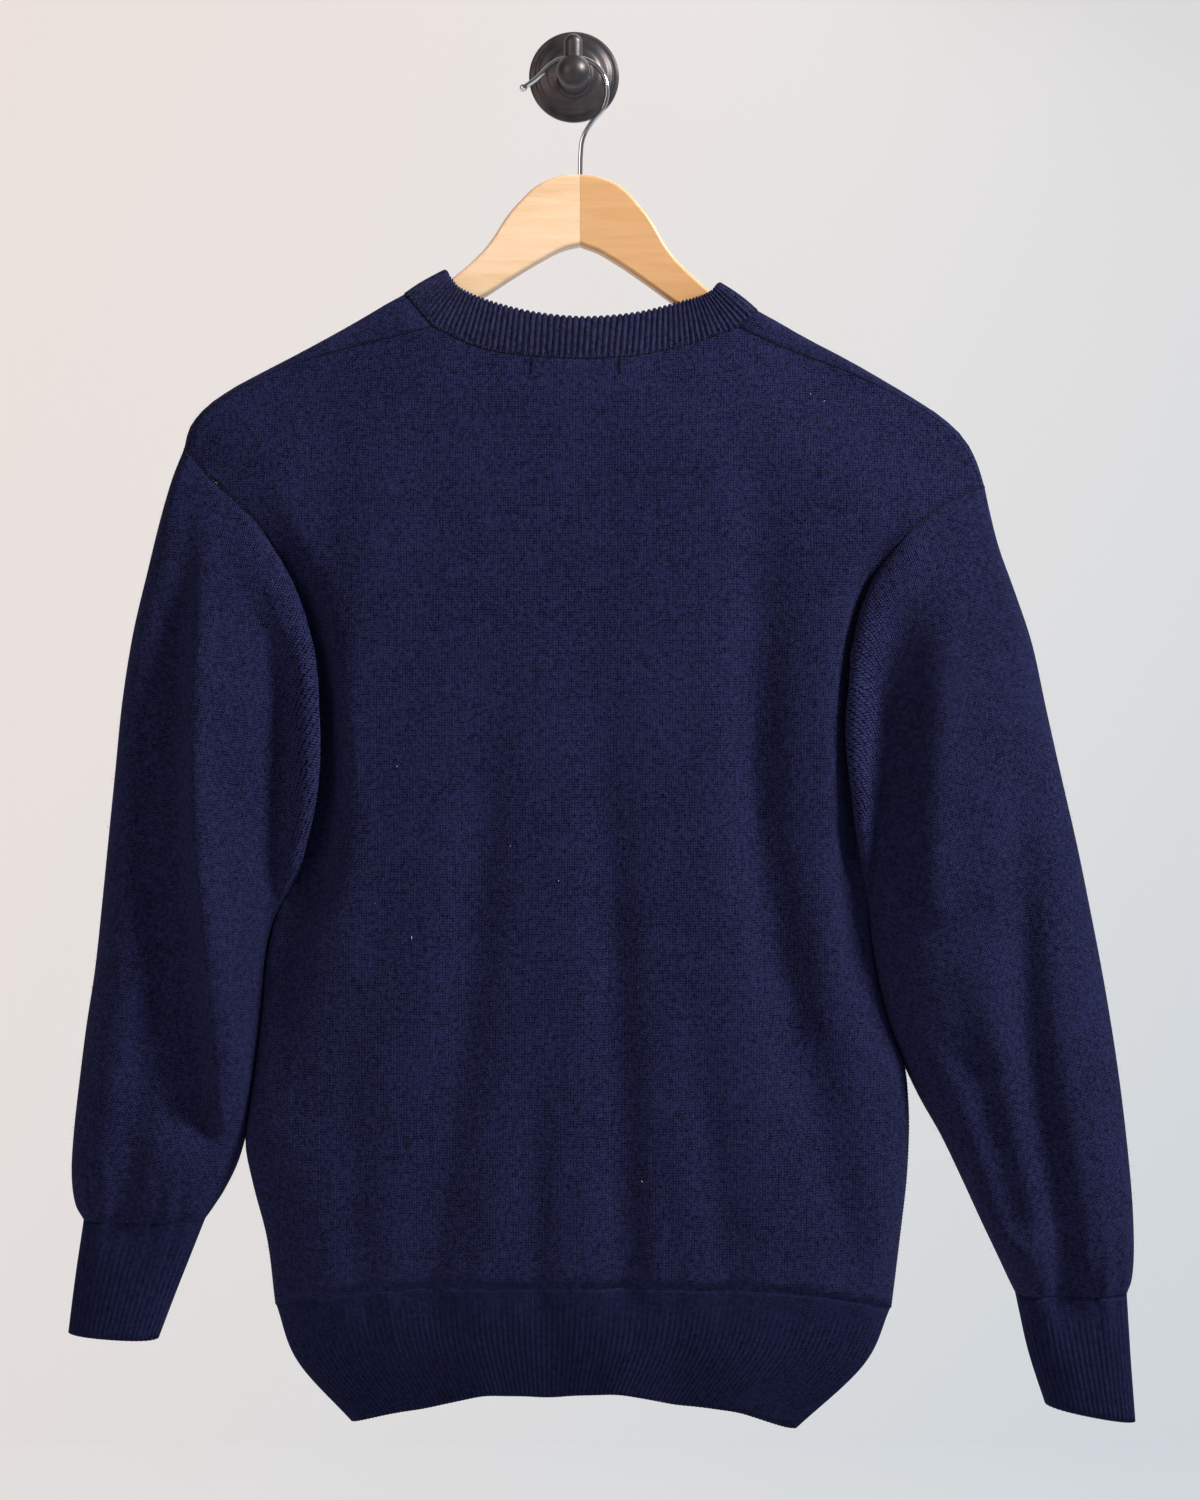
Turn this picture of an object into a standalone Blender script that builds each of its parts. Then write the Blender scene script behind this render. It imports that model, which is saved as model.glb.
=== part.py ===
"""Crewneck sweater on a wooden hanger, hung from a wall hook, seen from its back.

Sizes in the tables are millimetres; meshes are made in metres. +Z is up, +X is to the viewer's
right and +Y points into the wall. The origin is the middle of the wall plate's back face.
The knit pieces are walls between an outer and an inner skin, laid out as a maker cuts them:
back, front, two sleeves, and ribbed neckband, hem and cuffs.
"""
import math

import bmesh
import bpy
import numpy as np
from mathutils import Vector

MM = 0.001

# Knit
WALL = 2.0
SEAM_GAP = 0.3
RIB_RELIEF = 0.45
SEAM_RELIEF = 0.8
INNER_STEP = 4
NECK_RIBS = 132
HEM_RIBS_EACH_HALF = 84
CUFF_RIBS = 46
NECK_STEPS = 120
HEM_STEPS = 96
CUFF_STEPS = 48
ROUNDNESS = 2.6
SLEEVE_ROUNDNESS = 2.3
NECK_BULGE = 0.8

# Shoulders over the hanger
RIDGE_RADIUS = 10.0
BACK_SLOPE = 0.28
FRONT_SLOPE = 0.20
BLEND = 2.5

# Hanger
HANGER_MIDDLE = (4.0, -67.0)
HANGER_PLANE = -30.0
HANGER_THICK = 11.0
HANGER_TILT = math.radians(1.4)
HANGER_EDGE = 2.5
WIRE_RADIUS = 1.5
WIRE_TIP_RADIUS = 2.3
WIRE_HOLE_RADIUS = 1.85
WIRE_DEPTH_IN_WOOD = 15.0

# Wall hook
POST_START = (0.0, -11.3, -5.0)
POST_REACH = 34.7
POST_DROP = 3.9
BALL_RADIUS = 10.0
PIN_RADIUS = 5.5
PIN_RISE = 21.9

KNIT_ROUGHNESS = 0.9
NAVY = (0.017, 0.020, 0.062)
NAVY_RIB = (0.014, 0.017, 0.054)
MAPLE = (0.72, 0.52, 0.33)
CHROME = (0.78, 0.78, 0.79)
BRONZE = (0.10, 0.085, 0.085)
WOOD_MAPLE = (MAPLE, 0.45, 0.0)
METAL_CHROME = (CHROME, 0.18, 1.0)
METAL_BRONZE = (BRONZE, 0.35, 1.0)


def table(columns, *rows):
    """A small table: each named column becomes an array."""
    values = np.array(rows, float)
    return {name: values[:, i] for i, name in enumerate(columns.split())}


# The shoulder line over the hanger, left to right; between x -101 and 110 it only guides the neck.
RIDGE = table(
    "x z",
    (-233, -231), (-230, -219), (-222, -208), (-206, -196), (-184, -184), (-161, -172),
    (-132, -156), (-101, -138), (-60, -130), (4, -127), (65, -134), (110, -148),
    (140, -165), (163, -177), (184, -189), (204, -201), (223, -214), (234, -225),
    (241, -238), (246, -254),
)
LEFT_CROSSING = 7
RIGHT_CROSSING = 11

# Shoulder seams, from the armhole to the neck. They lie on the back, just behind the shoulder line.
LEFT_SEAM = table(
    "x z", (-230, -232), (-226.5, -220), (-219.5, -210.5), (-205, -199.5), (-190, -191.5),
    (-169, -182.5), (-154, -177.5), (-123, -169.5), (-103, -165), (-83, -160),
)
RIGHT_SEAM = table(
    "x z", (243, -255), (237.5, -240), (230.5, -228), (220.5, -217.5), (203, -205.5),
    (179, -193), (156, -183), (141, -178), (125, -172), (98, -160),
)

# Side seam then armhole, bottom to top, each side
LEFT_SIDE = table("x z", (-177, -740), (-182, -700), (-189, -668), (-192.5, -645), (-190.2, -624), (-187, -604),
                  (-184, -581), (-182, -562), (-180.8, -545), (-179, -530), (-174, -509), (-163, -488))
RIGHT_SIDE = table("x z", (189, -742), (194, -700), (196.6, -661), (196.6, -620), (194, -598), (186.6, -579),
                   (181, -560), (177, -542), (174.8, -525), (174.3, -510), (174.6, -495), (175, -477))
LEFT_ARMHOLE = table("x z", (-163, -488), (-160, -441), (-161, -394), (-164, -347),
                     (-172, -306), (-183, -282), (-198, -265), (-216, -249), (-233, -231))
RIGHT_ARMHOLE = table("x z", (175, -477), (178, -435), (178, -388), (181, -344),
                      (186, -306), (197, -284), (213, -270), (230, -261), (246, -254))

# Neck: the seam on the garment, and the free edge of the band, round from the left shoulder line
# over the back to the right, and on round the lower front.
NECK = table(
    "seam_x seam_z edge_x edge_y edge_z",
    (-101, -138, -77, -30, -124.5),
    (-83, -160, -68, -41.5, -136),
    (-53, -174, -48, -44.5, -145),
    (-25, -178.5, -23, -46.5, -151.5),
    (4, -180, 6, -47.5, -154.5),
    (34, -178.5, 36, -46.5, -152),
    (66, -172, 64, -44.5, -145),
    (98, -160, 81, -41.5, -139),
    (110, -148, 88, -30, -132),
    (108, -159, 86, -20, -143.5),
    (104, -172, 82, -18, -158),
    (84, -203, 63, -14, -186),
    (48, -226, 35, -12, -204),
    (4, -235, 4, -11, -211),
    (-40, -226, -27, -12, -203),
    (-75, -200, -54, -14, -182),
    (-95, -165, -72, -18, -150),
    (-98.5, -150, -75.5, -20, -136),
)
BACK_STATIONS = slice(1, 8)
RIGHT_RIDGE_STATION = 8

# The body's depth at each height: middle plane, and how far the back and front stand off it
DEPTH = table(
    "z middle back front",
    (-120, -30, 24, 19), (-230, -31, 27, 20), (-300, -33, 31, 22), (-400, -36, 35, 25),
    (-500, -39, 36, 27), (-600, -41, 37, 29), (-680, -42, 38, 30), (-740, -41, 35, 27),
    (-780, -39.5, 29, 22), (-815, -38.5, 23, 17),
)

# How far the armhole seam stands off the middle plane, from the underarm up
ARMHOLE_DEPTH = table("up back front", (0, 0, 0), (0.07, 8, 7), (0.2, 15, 13), (0.4, 19, 16),
                      (0.6, 22, 18), (0.8, 25, 19), (1, 27, 20))

# Hem rib: its corners and middle at the top, half way and bottom
HEM = table(
    "left_x left_z middle_z right_x right_z fullness",
    (-177, -740, -724, 189, -742, 4.0),
    (-164, -774, -757, 173, -776, 3.0),
    (-132, -810, -788, 133, -814, 2.2),
)

# Sleeves: outer and inner edge of each section, middle plane, and how far back and front stand off.
# The armhole column says how much of the armhole's own shape is left in the section.
SLEEVE = "outer_x outer_z inner_x inner_z middle back front armhole"
LEFT_SLEEVE = table(
    SLEEVE,
    (-233, -231, -163, -488, -33, 27, 20, 1.00),
    (-240, -250, -166, -490, -34, 31, 22, 0.80),
    (-247, -276, -169, -493, -35, 35, 23, 0.60),
    (-254, -306, -172, -499, -36, 37, 24, 0.42),
    (-262, -342, -175.5, -507, -37, 38, 25, 0.28),
    (-268, -382, -178.5, -516, -38, 38, 26, 0.16),
    (-272, -424, -181, -528, -39, 37, 26, 0.08),
    (-276, -466, -182.5, -543, -40, 35, 26, 0.03),
    (-280, -506, -183.5, -560, -40, 33, 26, 0),
    (-284, -542, -185.5, -581, -40, 31, 26, 0),
    (-289, -574, -188.5, -605, -40, 29, 25, 0),
    (-293, -605, -193, -632, -40, 27, 24, 0),
    (-296.5, -636, -199, -655, -40, 26, 23, 0),
    (-298, -662, -207, -672, -40, 25, 22, 0),
    (-296, -680, -214, -683, -40, 22, 20, 0),
    (-291, -690, -219, -690, -40, 18, 17, 0),
)
RIGHT_SLEEVE = table(
    SLEEVE,
    (246, -254, 175, -477, -33, 27, 20, 1.00),
    (249, -270, 176.5, -482, -34, 31, 22, 0.80),
    (254, -291, 176.5, -489, -35, 35, 23, 0.60),
    (263, -317, 176, -498, -36, 37, 24, 0.42),
    (273, -348, 175.5, -510, -37, 38, 25, 0.28),
    (281, -386, 176, -525, -38, 38, 26, 0.16),
    (290, -427, 178.5, -542, -39, 37, 26, 0.08),
    (299, -467, 182.5, -560, -40, 36, 26, 0.03),
    (307, -506, 188, -578, -40, 34, 26, 0),
    (314, -542, 196, -597, -40, 32, 26, 0),
    (320, -577, 206, -618, -40, 30, 25, 0),
    (325, -611, 219, -641, -40, 28, 24, 0),
    (329, -645, 231.5, -667, -40, 27, 23, 0),
    (332, -678, 243, -692, -40, 26, 22, 0),
    (333, -706, 252.5, -712, -40, 25, 21, 0),
    (332, -724, 259, -726, -40, 22, 19, 0),
    (329, -734, 263, -734, -40, 18, 17, 0),
)

# Cuffs: the two lower sections of each, their top is the sleeve's end
CUFF = "outer_x outer_z inner_x inner_z middle back front"
LEFT_CUFF = table(CUFF, (-296, -725, -234, -727, -40, 15, 14), (-300, -757, -247, -761, -40, 14, 13))
RIGHT_CUFF = table(CUFF, (331, -769, 271, -769, -40, 15, 14), (334, -810, 281, -800, -40, 14, 13))

# Folds, as soft troughs (depth above 0) or ridges (below 0) along a curve through three points
FOLD = "start_x start_z middle_x middle_z end_x end_z width depth"
BACK_FOLDS = table(
    FOLD,
    (116, -255, 108, -440, 165, -715, 15, 9.0),
    (150, -300, 152, -430, 150, -560, 12, -3.0),
    (-48, -380, -60, -540, -84, -722, 15, 5.5),
    (16, -395, 25, -560, 31, -722, 13, 5.5),
    (-150, -232, -148, -290, -140, -350, 13, 5.5),
    (72, -560, 80, -640, 92, -722, 11, 3.5),
    (-20, -600, -22, -660, -21, -722, 9, 3.0),
    (-128, -560, -130, -640, -122, -722, 10, 3.5),
)
FRONT_FOLDS = table(
    FOLD,
    (-96, -260, -104, -450, -128, -722, 15, 6.0),
    (-8, -390, -2, -560, -12, -722, 14, 5.0),
    (92, -330, 84, -520, 104, -722, 14, 5.5),
    (48, -600, 50, -660, 44, -722, 10, 3.0),
)
LEFT_SLEEVE_FOLDS = table(
    FOLD,
    (-211, -268, -217, -400, -192, -640, 9, -4.0),
    (-236, -300, -246, -440, -232, -620, 16, 8.0),
    (-250, -560, -256, -620, -262, -682, 10, 4.0),
)
RIGHT_SLEEVE_FOLDS = table(
    FOLD,
    (232, -276, 214, -380, 208, -500, 13, -3.5),
    (262, -430, 266, -570, 293, -728, 12, 6.0),
    (222, -560, 242, -620, 262, -690, 10, 3.5),
)

# Hanger: its top and underside at distances from the middle, before it is tilted
HANGER = table(
    "out top under",
    (0, 0, -42.5), (10, -0.8, -45.5), (22, -5, -52), (40, -22, -63.5), (56, -46, -74.5),
    (76, -65, -87), (105, -86, -107), (136, -102.5, -126), (165, -118, -140.5),
    (188, -130.5, -150.5), (208, -143.5, -158.5), (218, -151.5, -162),
)
HANGER_TIP = (223, -157.5)

# The wire from inside the wood up, over the hook's post, to its free tip
WIRE = table(
    "x z", (4, -66), (4.2, -56), (5.5, -45), (11, -35), (17.5, -27), (20, -18), (19, -9.5),
    (14.8, -2.4), (8, 2.2), (0, 3.7), (-8, 2.6), (-14, -0.8), (-18.6, -5.4), (-23, -9.5), (-28, -13),
)

# Turned shapes: place along the axis and radius
PLATE = table("along radius", (0, 27.5), (2.6, 27.5), (4.2, 26.2), (4.6, 24.2), (6.2, 23.4),
              (7.4, 21.5), (9.6, 16), (11, 11))
POST = table("along radius", (0, 10.5), (2.5, 9), (9, 8.6), (17, 9), (25, 9), (27.5, 9.2))


def read(tab, column, at, by="z"):
    """A table's column at given places, as a smooth curve through its rows."""
    order = np.argsort(tab[by])
    places = tab[by][order]
    values = tab[column][order]
    slopes = np.gradient(values, places)
    at = np.clip(at, places[0], places[-1])
    i = np.clip(np.searchsorted(places, at, side="right") - 1, 0, len(places) - 2)
    return hermite(places, values, slopes, i, at)


def hermite(places, values, slopes, i, at):
    """The cubic between rows i and i + 1."""
    width = places[i + 1] - places[i]
    t = (at - places[i]) / width
    start = 2 * t**3 - 3 * t**2 + 1
    lean_start = (t**3 - 2 * t**2 + t) * width
    lean_end = (t**3 - t**2) * width
    places = start * values[i] + (1 - start) * values[i + 1]
    return places + lean_start * slopes[i] + lean_end * slopes[i + 1]


def along(points, at):
    """Points at fractions of the length of a smooth curve through the given points."""
    points = np.asarray(points, float)
    steps = np.linalg.norm(np.diff(points, axis=0), axis=1)
    places = np.concatenate([[0.0], np.cumsum(steps)]) / steps.sum()
    slopes = np.gradient(points, places, axis=0)
    at = np.clip(np.asarray(at, float), 0, 1)
    i = np.clip(np.searchsorted(places, at, side="right") - 1, 0, len(places) - 2)
    columns = [hermite(places, points[:, c], slopes[:, c], i, at) for c in range(points.shape[1])]
    return np.stack(columns, axis=-1)


def on_chain(points, at):
    """Points at fractions of the length of straight steps through the given points."""
    steps = np.linalg.norm(np.diff(points, axis=0), axis=1)
    places = np.concatenate([[0.0], np.cumsum(steps)]) / steps.sum()
    return np.stack([np.interp(at, places, points[:, c]) for c in range(points.shape[1])], axis=-1)


def plan(tab, first="x", second="z"):
    return np.stack([tab[first], tab[second]], axis=-1)


def soft_least(a, b):
    """The lesser of two depths, with the corner between them rounded."""
    return np.maximum(-BLEND * np.log(np.exp(-a / BLEND) + np.exp(-b / BLEND)), 0)


def distance_to_chain(points, chain):
    """How far each point lies from the nearest straight step of a chain."""
    start, end = chain[:-1], chain[1:]
    step = end - start
    length2 = (step**2).sum(-1)
    offset = points[..., None, :] - start
    t = np.clip((offset * step).sum(-1) / length2, 0, 1)
    nearest = start + t[..., None] * step
    return np.linalg.norm(points[..., None, :] - nearest, axis=-1).min(-1)


RIDGE_CHAIN = along(plan(RIDGE), np.linspace(0, 1, 160))


def shoulder_depth(xz, slope):
    """How far the cloth stands off the hanger's plane at a point below the shoulder line."""
    away = distance_to_chain(xz, RIDGE_CHAIN)
    turn = np.clip(away / RIDGE_RADIUS, 0, 1)
    return RIDGE_RADIUS * np.sqrt(1 - (1 - turn) ** 2) + slope * np.maximum(away - RIDGE_RADIUS, 0)


def open_depth(xz, side):
    """How far the cloth stands off the middle plane, away from the sides."""
    slope = BACK_SLOPE if side == "back" else FRONT_SLOPE
    return soft_least(shoulder_depth(xz, slope), read(DEPTH, side, xz[..., 1]))


def roundness(across):
    """The body's section: 0 at its sides, 1 in the middle."""
    return (1 - np.abs(2 * across - 1) ** ROUNDNESS) ** (1 / ROUNDNESS)


def fold_depth(xz, folds):
    """The sum of the folds' depths at each point."""
    total = np.zeros(xz.shape[:-1])
    for row in zip(*(folds[name] for name in FOLD.split())):
        three = np.array(row[:6]).reshape(3, 2)
        chain = along(three, np.linspace(0, 1, 13))
        away = distance_to_chain(xz, chain)
        from_start = np.linalg.norm(xz - three[0], axis=-1)
        reach = np.linalg.norm(three[1] - three[0])
        fade = np.clip(0.25 + from_start / reach, 0, 1)
        total += row[7] * fade * np.exp(-(away / row[6]) ** 2)
    return total


def bowed_by(edge, rows, up):
    """How far a side edge bows off its own chord, read at given places up it."""
    bow = edge - (1 - rows[:, None]) * edge[0] - rows[:, None] * edge[-1]
    return np.stack([np.interp(up, rows, bow[:, c]) for c in range(2)], axis=-1)


def patch(bottom, top, left, right, across, up):
    """A panel between four curves: columns across run straight up, the outer ones bowed like the sides."""
    first, last = SHOULDER_COLUMNS - 1, -SHOULDER_COLUMNS
    corner_height = np.interp(across, across[[first, last]], top[[first, last], 1])
    height = np.minimum((top[:, 1] - bottom[:, 1]) / (corner_height - bottom[:, 1]), 1)
    height[: first + 1] = 1
    height[last:] = 1
    level = up[:, None] * height[None, :]
    c = across[None, :, None]
    v = up[:, None, None]
    like_left = np.clip(1 - c / across[first], 0, 1)
    like_right = np.clip(1 - (1 - c) / across[first], 0, 1)
    straight = (1 - v) * bottom[None] + v * top[None]
    return straight + like_left * bowed_by(left, up, level) + like_right * bowed_by(right, up, level)


SHOULDER_PLACES = np.array([0, 0.05, 0.15, 0.31, 0.52, 0.77, 1.0])
SHOULDER_COLUMNS = len(SHOULDER_PLACES)
BACK_SHOULDER = np.array([0, 0.013, 0.045, 0.092, 0.148, 0.208, 0.27])
FRONT_SHOULDER = np.array([0, 0.010, 0.034, 0.068, 0.110, 0.154, 0.20])
BACK_NECK_PLACES = np.linspace(0, 1, 12)
HALF_NECK = np.array([0, 0.010, 0.023, 0.041, 0.068, 0.108, 0.165, 0.245, 0.33, 0.415])
FRONT_NECK_PLACES = np.concatenate([HALF_NECK, [0.5], 1 - HALF_NECK[::-1]])
SIDE_ROWS = np.linspace(0, 1, 10)
BACK_ROWS = 1 - np.array([0.91, 0.77, 0.62, 0.48, 0.345, 0.24, 0.165, 0.103, 0.062, 0.034, 0.014, 0.0])
FRONT_ROWS = 1 - np.array([0.90, 0.75, 0.60, 0.45, 0.31, 0.205, 0.13, 0.076, 0.041, 0.021, 0.007, 0.0])
OVER_ROWS = np.array([0.08, 0.29, 0.60, 1.0])
UNDERARM_UP = 0.49
LAST_SIDE_ROW = len(SIDE_ROWS) - 1


def columns_across(shoulder, neck_places):
    """Each column's place across the body, from the left side to the right."""
    middle = shoulder[-1] + (1 - 2 * shoulder[-1]) * neck_places[1:-1]
    return np.concatenate([shoulder, middle, 1 - shoulder[::-1]])


BACK_ACROSS = columns_across(BACK_SHOULDER, BACK_NECK_PLACES)
FRONT_ACROSS = columns_across(FRONT_SHOULDER, FRONT_NECK_PLACES)


def side_edges(armhole_rows, left_top, right_top):
    """Both side edges of a panel, bottom to top, with the armhole ending at the given points."""
    edges = []
    for side, armhole, top in ((LEFT_SIDE, LEFT_ARMHOLE, left_top), (RIGHT_SIDE, RIGHT_ARMHOLE, right_top)):
        lower = along(plan(side), SIDE_ROWS)
        path = plan(armhole)
        path[-1] = top
        upper = along(path, armhole_rows)
        edges.append(np.concatenate([lower, upper]))
    return edges


def rows_up(armhole_rows):
    return np.concatenate([UNDERARM_UP * SIDE_ROWS, UNDERARM_UP + (1 - UNDERARM_UP) * armhole_rows])


def hem_curve(row, across):
    """The hem's line at one of its rows, in x and z."""
    h = {name: values[row] for name, values in HEM.items()}
    flat = 1 - np.abs(2 * across - 1) ** h["fullness"]
    ends = h["left_z"] + (h["right_z"] - h["left_z"]) * across
    return np.stack([h["left_x"] + (h["right_x"] - h["left_x"]) * across,
                     ends + (h["middle_z"] - (h["left_z"] + h["right_z"]) / 2) * flat], axis=-1)


def body_depth(xz, across, edge, side):
    """How far a panel stands off the middle plane; edge is its depth along the armhole."""
    slope = BACK_SLOPE if side == "back" else FRONT_SLOPE
    full = read(DEPTH, side, xz[..., 1])
    inner = edge + (full - edge) * roundness(across)
    return soft_least(shoulder_depth(xz, slope), inner)


def stand(xz, depth, side):
    """Points in space from x and z, and how far they stand off the middle plane."""
    towards = -1 if side == "back" else 1
    y = read(DEPTH, "middle", xz[..., 1]) + towards * depth
    return np.stack([xz[..., 0], y, xz[..., 1]], axis=-1)


def edge_depths(armhole_rows, side):
    """The armhole seam's depth at every row of a panel."""
    upper = read(ARMHOLE_DEPTH, side, armhole_rows, by="up")
    return np.concatenate([np.zeros(len(SIDE_ROWS)), upper])


def back_skin():
    """The back panel's outer points, rows up from the hem and columns from left to right."""
    neck = along(plan(NECK, "seam_x", "seam_z")[BACK_STATIONS], BACK_NECK_PLACES)
    left = along(plan(LEFT_SEAM), SHOULDER_PLACES)
    right = along(plan(RIGHT_SEAM), SHOULDER_PLACES)[::-1]
    top = np.concatenate([left[:-1], neck, right[1:]])
    edges = side_edges(BACK_ROWS, left[0], right[-1])
    across = BACK_ACROSS
    xz = patch(hem_curve(0, across), top, *edges, across, rows_up(BACK_ROWS))
    edge = edge_depths(BACK_ROWS, "back")[:, None]
    depth = body_depth(xz, across[None, :], edge, "back")
    inside = roundness(across)[None, :] ** 2
    depth = depth - fold_depth(xz, BACK_FOLDS) * inside * np.clip(depth / 20, 0, 1)
    return stand(xz, depth, "back")


def front_skin():
    """The front panel's outer points up to the shoulder line and the neck seam between them."""
    ridge = plan(RIDGE)
    seam = plan(NECK, "seam_x", "seam_z")
    neck = along(np.concatenate([seam[RIGHT_RIDGE_STATION:], seam[:1]])[::-1], FRONT_NECK_PLACES)
    left = along(ridge[: LEFT_CROSSING + 1], SHOULDER_PLACES)
    right = along(ridge[RIGHT_CROSSING:][::-1], SHOULDER_PLACES)[::-1]
    top = np.concatenate([left[:-1], neck, right[1:]])
    edges = side_edges(FRONT_ROWS, left[0], right[-1])
    across = FRONT_ACROSS
    xz = patch(hem_curve(0, across), top, *edges, across, rows_up(FRONT_ROWS))
    edge = edge_depths(FRONT_ROWS, "front")[:, None]
    depth = body_depth(xz, across[None, :], edge, "front")
    inside = roundness(across)[None, :] ** 2
    depth = depth - fold_depth(xz, FRONT_FOLDS) * inside * np.clip(depth / 20, 0, 1)
    depth[-1, :SHOULDER_COLUMNS] = 0
    depth[-1, -SHOULDER_COLUMNS:] = 0
    return stand(xz, depth, "front")


def over_shoulder(ridge, seam):
    """The strip of the front panel from the shoulder line back and down to the shoulder seam."""
    rows = [ridge]
    for reach in OVER_ROWS[:-1]:
        xz = (1 - reach) * ridge[:, [0, 2]] + reach * seam[:, [0, 2]]
        rows.append(stand(xz, open_depth(xz, "back"), "back"))
    return np.array([*rows, seam])


def section(tab, row, turn):
    """A round section between its outer and inner edge; turn goes 0 to 2 from inner edge over the back."""
    s = {name: values[row] for name, values in tab.items()}
    outer = np.array([s["outer_x"], s["outer_z"]])
    inner = np.array([s["inner_x"], s["inner_z"]])
    angle = math.pi * (1 - turn)
    bend = 2 / SLEEVE_ROUNDNESS
    out = np.sign(np.cos(angle)) * np.abs(np.cos(angle)) ** bend
    off = np.abs(np.sin(angle)) ** bend
    xz = (outer + inner) / 2 + (outer - inner) / 2 * out[:, None]
    y = s["middle"] - np.where(turn <= 1, s["back"], -s["front"]) * off
    return np.stack([xz[:, 0], y, xz[:, 1]], axis=-1)


def armhole_ring(up_back, up_front):
    """The armhole's seam points from the underarm up the back, over the shoulder and down the front."""
    down_front = up_front[::-1]
    return np.concatenate([up_back, down_front[1:-1]]), len(up_back)


def ring_turns(ring, up):
    """Each armhole point's place round the section: 0 to 1 over the back, 1 to 2 over the front."""
    steps = np.linalg.norm(np.diff(np.concatenate([ring, ring[:1]]), axis=0), axis=1)
    places = np.concatenate([[0.0], np.cumsum(steps)])
    top = up - 1 + len(OVER_ROWS)
    back = places[: top + 1] / places[top]
    front = 1 + (places[top + 1:-1] - places[top]) / (places[-1] - places[top])
    return np.concatenate([back, front])


def even_turns(count, up):
    top = up - 1 + len(OVER_ROWS)
    back = np.linspace(0, 1, top + 1)
    front = np.linspace(1, 2, count - top + 1)[1:-1]
    return np.concatenate([back, front])


def sleeve_skin(tab, folds, up_back, up_front):
    """A sleeve's outer points, a ring for each section, the first on the armhole seam."""
    ring, up = armhole_ring(up_back, up_front)
    own = ring_turns(ring, up)
    even = even_turns(len(ring), up)
    shape = ring - section(tab, 0, own)
    rings = []
    for row, share in enumerate(tab["armhole"]):
        turn = share * own + (1 - share) * even
        rings.append(section(tab, row, turn) + share * shape)
    rings = np.array(rings)
    behind = np.sin(math.pi * np.clip(even, 0, 1)) ** 0.5
    rise = np.clip(np.arange(len(rings)) / 3, 0, 1)[:, None]
    rings[..., 1] += fold_depth(rings[..., [0, 2]], folds) * behind * rise * (even <= 1)
    return rings


def surface_normals(skin, closed):
    """Outward unit normals of a grid of points."""
    if closed:
        wide = np.concatenate([skin[:, -1:], skin, skin[:, :1]], axis=1)
        across = (wide[:, 2:] - wide[:, :-2])
    else:
        across = np.gradient(skin, axis=1)
    up = np.gradient(skin, axis=0)
    normals = np.cross(across, up)
    return normals / np.maximum(np.linalg.norm(normals, axis=-1, keepdims=True), 1e-9)


def point_outwards(skin, normals, middle):
    """Turns a grid's normals round if they point to its middle."""
    away = ((skin - middle) * normals).sum()
    return normals if away > 0 else -normals


def key_of(point):
    """A point's name, the same for points that touch."""
    return tuple(np.round(point, 3) + 0.0)


def sheet_of(grids, closed, middle):
    """One sheet of quads from grids that share points, with the mean outward normal at each point."""
    number = {}
    points, faces = [], []
    for grid in grids:
        own = []
        for point in grid.reshape(-1, 3):
            if key_of(point) not in number:
                number[key_of(point)] = len(points)
                points.append(point)
            own.append(number[key_of(point)])
        faces += [tuple(own[i] for i in face) for face in skin_faces(*grid.shape[:2], 0, closed)]
    points = np.array(points)
    corners = points[np.array(faces)]
    facing = np.cross(corners[:, 2] - corners[:, 0], corners[:, 3] - corners[:, 1])
    if (facing * (corners.mean(1) - middle)).sum() < 0:
        facing = -facing
        faces = [face[::-1] for face in faces]
    normals = np.zeros_like(points)
    for corner in range(4):
        np.add.at(normals, np.array(faces)[:, corner], facing)
    return points, faces, normals / np.linalg.norm(normals, axis=-1, keepdims=True)


def share_normals(sheets):
    """Gives points that lie on the same seam the mean normal, where the sheets face the same way."""
    meeting = {}
    for points, _, normals in sheets:
        for point, normal in zip(points, normals):
            meeting.setdefault(key_of(point), []).append(normal.copy())
    for points, _, normals in sheets:
        for i, point in enumerate(points):
            alike = sum(n for n in meeting[key_of(point)] if n @ normals[i] > 0.3)
            normals[i] = alike / np.linalg.norm(alike)


def facing_at(sheet, line):
    """The sheet's normals at a line of its points."""
    points, _, normals = sheet
    known = {key_of(point): normal for point, normal in zip(points, normals)}
    return np.array([known[key_of(point)] for point in line])


def border_of(faces):
    """The steps along a sheet's border, the sheet on their left seen from outside."""
    steps = {step for face in faces for step in zip(face, face[1:] + face[:1])}
    return sorted(step for step in steps if step[::-1] not in steps)


def border_drawn_in(points, faces, normals):
    """A sheet's points with its border moved in by half the seam gap."""
    inward = {}
    for a, b in border_of(faces):
        side = np.cross(normals[a] + normals[b], points[b] - points[a])
        side = side / np.linalg.norm(side)
        inward.setdefault(a, []).append(side)
        inward.setdefault(b, []).append(side)
    moved = points.copy()
    for i, (one, other) in inward.items():
        moved[i] += SEAM_GAP / 2 * (one + other) / (1 + max(one @ other, -0.5))
    return moved


def draw_in(skin, closed):
    """Moves a grid's border back by half the seam gap."""
    pulled = skin.copy()
    for border, inside in ((0, 1), (-1, -2)):
        step = skin[inside] - skin[border]
        pulled[border] += SEAM_GAP / 2 * step / np.linalg.norm(step, axis=-1, keepdims=True)
    if not closed:
        start = pulled.copy()
        for border, inside in ((0, 1), (-1, -2)):
            step = start[:, inside] - start[:, border]
            pulled[:, border] += SEAM_GAP / 2 * step / np.linalg.norm(step, axis=-1, keepdims=True)
    return pulled


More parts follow.
